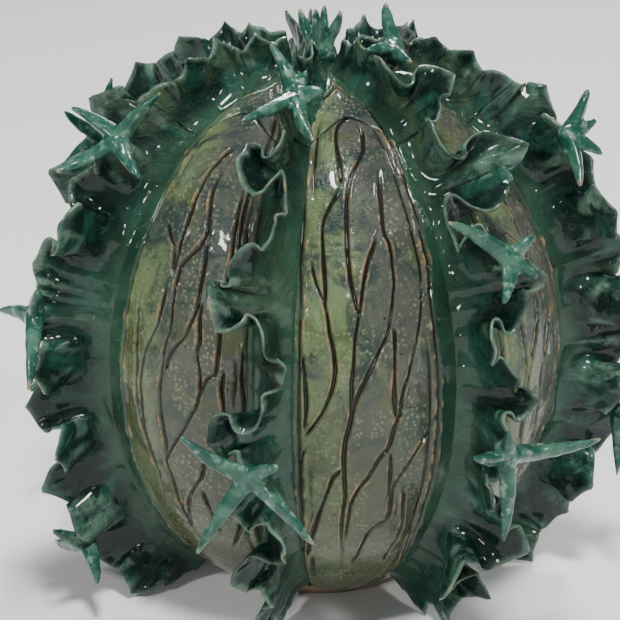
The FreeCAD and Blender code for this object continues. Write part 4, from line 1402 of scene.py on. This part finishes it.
@dataclass
class Studio:
    """Camera, pale floor and soft light."""

    distance: float = 0.95
    elevation: float = 18.0
    focal_mm: float = 110.0
    aim: tuple[float, float, float] = (-0.005, 0.0, 0.1309)

    def camera(self) -> None:
        """Stands the camera in front of the pot, looking slightly down."""
        data = bpy.data.cameras.new("view")
        data.lens = self.focal_mm
        data.sensor_width = 36.0
        data.clip_start = 0.05
        camera = bpy.data.objects.new("view", data)
        tilt = math.radians(self.elevation)
        aim = Vector(self.aim)
        camera.location = aim + Vector((0.0, -math.cos(tilt), math.sin(tilt))) * self.distance
        camera.rotation_euler = (aim - camera.location).to_track_quat("-Z", "Y").to_euler()
        bpy.context.scene.collection.objects.link(camera)
        bpy.context.scene.camera = camera

    def floor(self) -> None:
        """A wide pale floor that reads as white all round the pot."""
        mesh = bpy.data.meshes.new("floor")
        reach = 6.0
        mesh.from_pydata([(-reach, -reach, 0), (reach, -reach, 0), (reach, reach, 0), (-reach, reach, 0)],
                         [], [(0, 1, 2, 3)])
        floor = bpy.data.objects.new("floor", mesh)
        bpy.context.scene.collection.objects.link(floor)
        pale = Nodes("pale_floor")
        pale.shader.inputs["Base Color"].default_value = (0.88, 0.88, 0.88, 1.0)
        pale.shader.inputs["Roughness"].default_value = 0.7
        floor.data.materials.append(pale.material)

    def lamp(self, name: str, place: tuple[float, float, float], side: float, watts: float) -> None:
        """A square soft light aimed at the pot.

        Args:
            name: name of the light.
            place: where it hangs, in metres.
            side: its width in metres.
            watts: its power.
        """
        data = bpy.data.lights.new(name, "AREA")
        data.size = side
        data.energy = watts
        lamp = bpy.data.objects.new(name, data)
        lamp.location = place
        lamp.rotation_euler = (Vector((0, 0, 0.13)) - Vector(place)).to_track_quat("-Z", "Y").to_euler()
        bpy.context.scene.collection.objects.link(lamp)

    def build(self) -> None:
        """Sets up the camera, the floor, the lights and a pale surround."""
        self.camera()
        self.floor()
        self.lamp("overhead", (0.15, -1.0, 3.0), 0.55, 110.0)
        self.lamp("left", (-2.0, -1.8, 2.1), 0.4, 40.0)
        self.lamp("right", (2.1, -1.4, 2.0), 0.35, 30.0)
        self.lamp("back", (0.4, 2.4, 2.4), 0.7, 60.0)
        self.lamp("low_front", (-0.5, -2.6, 0.9), 0.22, 12.0)
        world = bpy.data.worlds.new("surround")
        bpy.context.scene.world = world
        world.use_nodes = True
        shade = world.node_tree.nodes["Background"]
        shade.inputs["Color"].default_value = (1.0, 1.0, 1.0, 1.0)
        shade.inputs["Strength"].default_value = 0.12


# ---------------------------------------------------------------- the whole tureen


FOOT_OUTLINE = [(52.0, 0.0), (53.2, 0.5), (54.8, 1.8), (62.9, 9.0)]
RING_OUTLINE = [(40.0, 227.0), (41.0, 226.0), (44.0, 226.0), (45.0, 227.0), (45.0, 238.6), (42.5, 240.2),
                (40.0, 241.2)]


@dataclass
class Tureen:
    """The bowl and its lid."""

    globe: Globe
    bowl_rings: int = 430
    lid_rings: int = 130

    def build(self) -> None:
        """Builds every piece, dresses it and puts it on its body."""
        relief = Relief(self.globe)
        panel, rib = PanelGlaze().build(), RibGlaze().build()
        spine, foot = SpineGlaze().build(), FootGlaze().build()
        gores = [WallGore(relief, number) for number in RIB_AZIMUTHS]
        for gore in gores:
            place(gore.build(), "bowl", f"wall_panel_{gore.number}", "panel_glaze", panel)
        place(LidDome(relief, gores[0]).build(), "lid", "lid_cap", "panel_glaze", panel)
        slab = Turned("foot_slab", FOOT_OUTLINE, self.globe.noise)
        place(slab.build(), "bowl", "base_slab", "foot_glaze", foot)
        ring = Turned("lid_ring", RING_OUTLINE, self.globe.noise, columns=120, wobble=0.1, hollow=True)
        place(ring.build(), "lid", "lid_locating_ring", "foot_glaze", foot)
        for number in RIB_AZIMUTHS:
            strip = Ruffle(self.globe, number)
            lower = strip.build(f"ruffle_{number}", False, self.bowl_rings)
            place(lower, "bowl", f"bowl_ruffle_{number}", "rib_glaze", rib)
            upper = strip.build(f"crown_ruffle_{number}", True, self.lid_rings)
            place(upper, "lid", f"lid_ruffle_{number}", "rib_glaze", rib)
        for name, body, number, station, side, height, turn, spines in STARS:
            star = SpineStar(self.globe, f"spines_{name[5:]}", number, station, side, height, turn, spines)
            place(star.build(), body, name, "spine_glaze", spine)
        place(CrownBud(self.globe).build(), "lid", "crown_bud", "spine_glaze", spine)


def main() -> None:
    """Builds the tureen and its studio."""
    logging.basicConfig(level=logging.INFO, format="%(message)s")
    belly_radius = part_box("wall_panel_4")[1][0] / MM
    pole_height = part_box("lid_cap")[1][2] / MM
    log.info("belly radius %.2f mm, pole at %.2f mm", belly_radius, pole_height)
    Tureen(Globe(belly_radius, pole_height)).build()
    Studio().build()


if __name__ == "__main__":
    main()
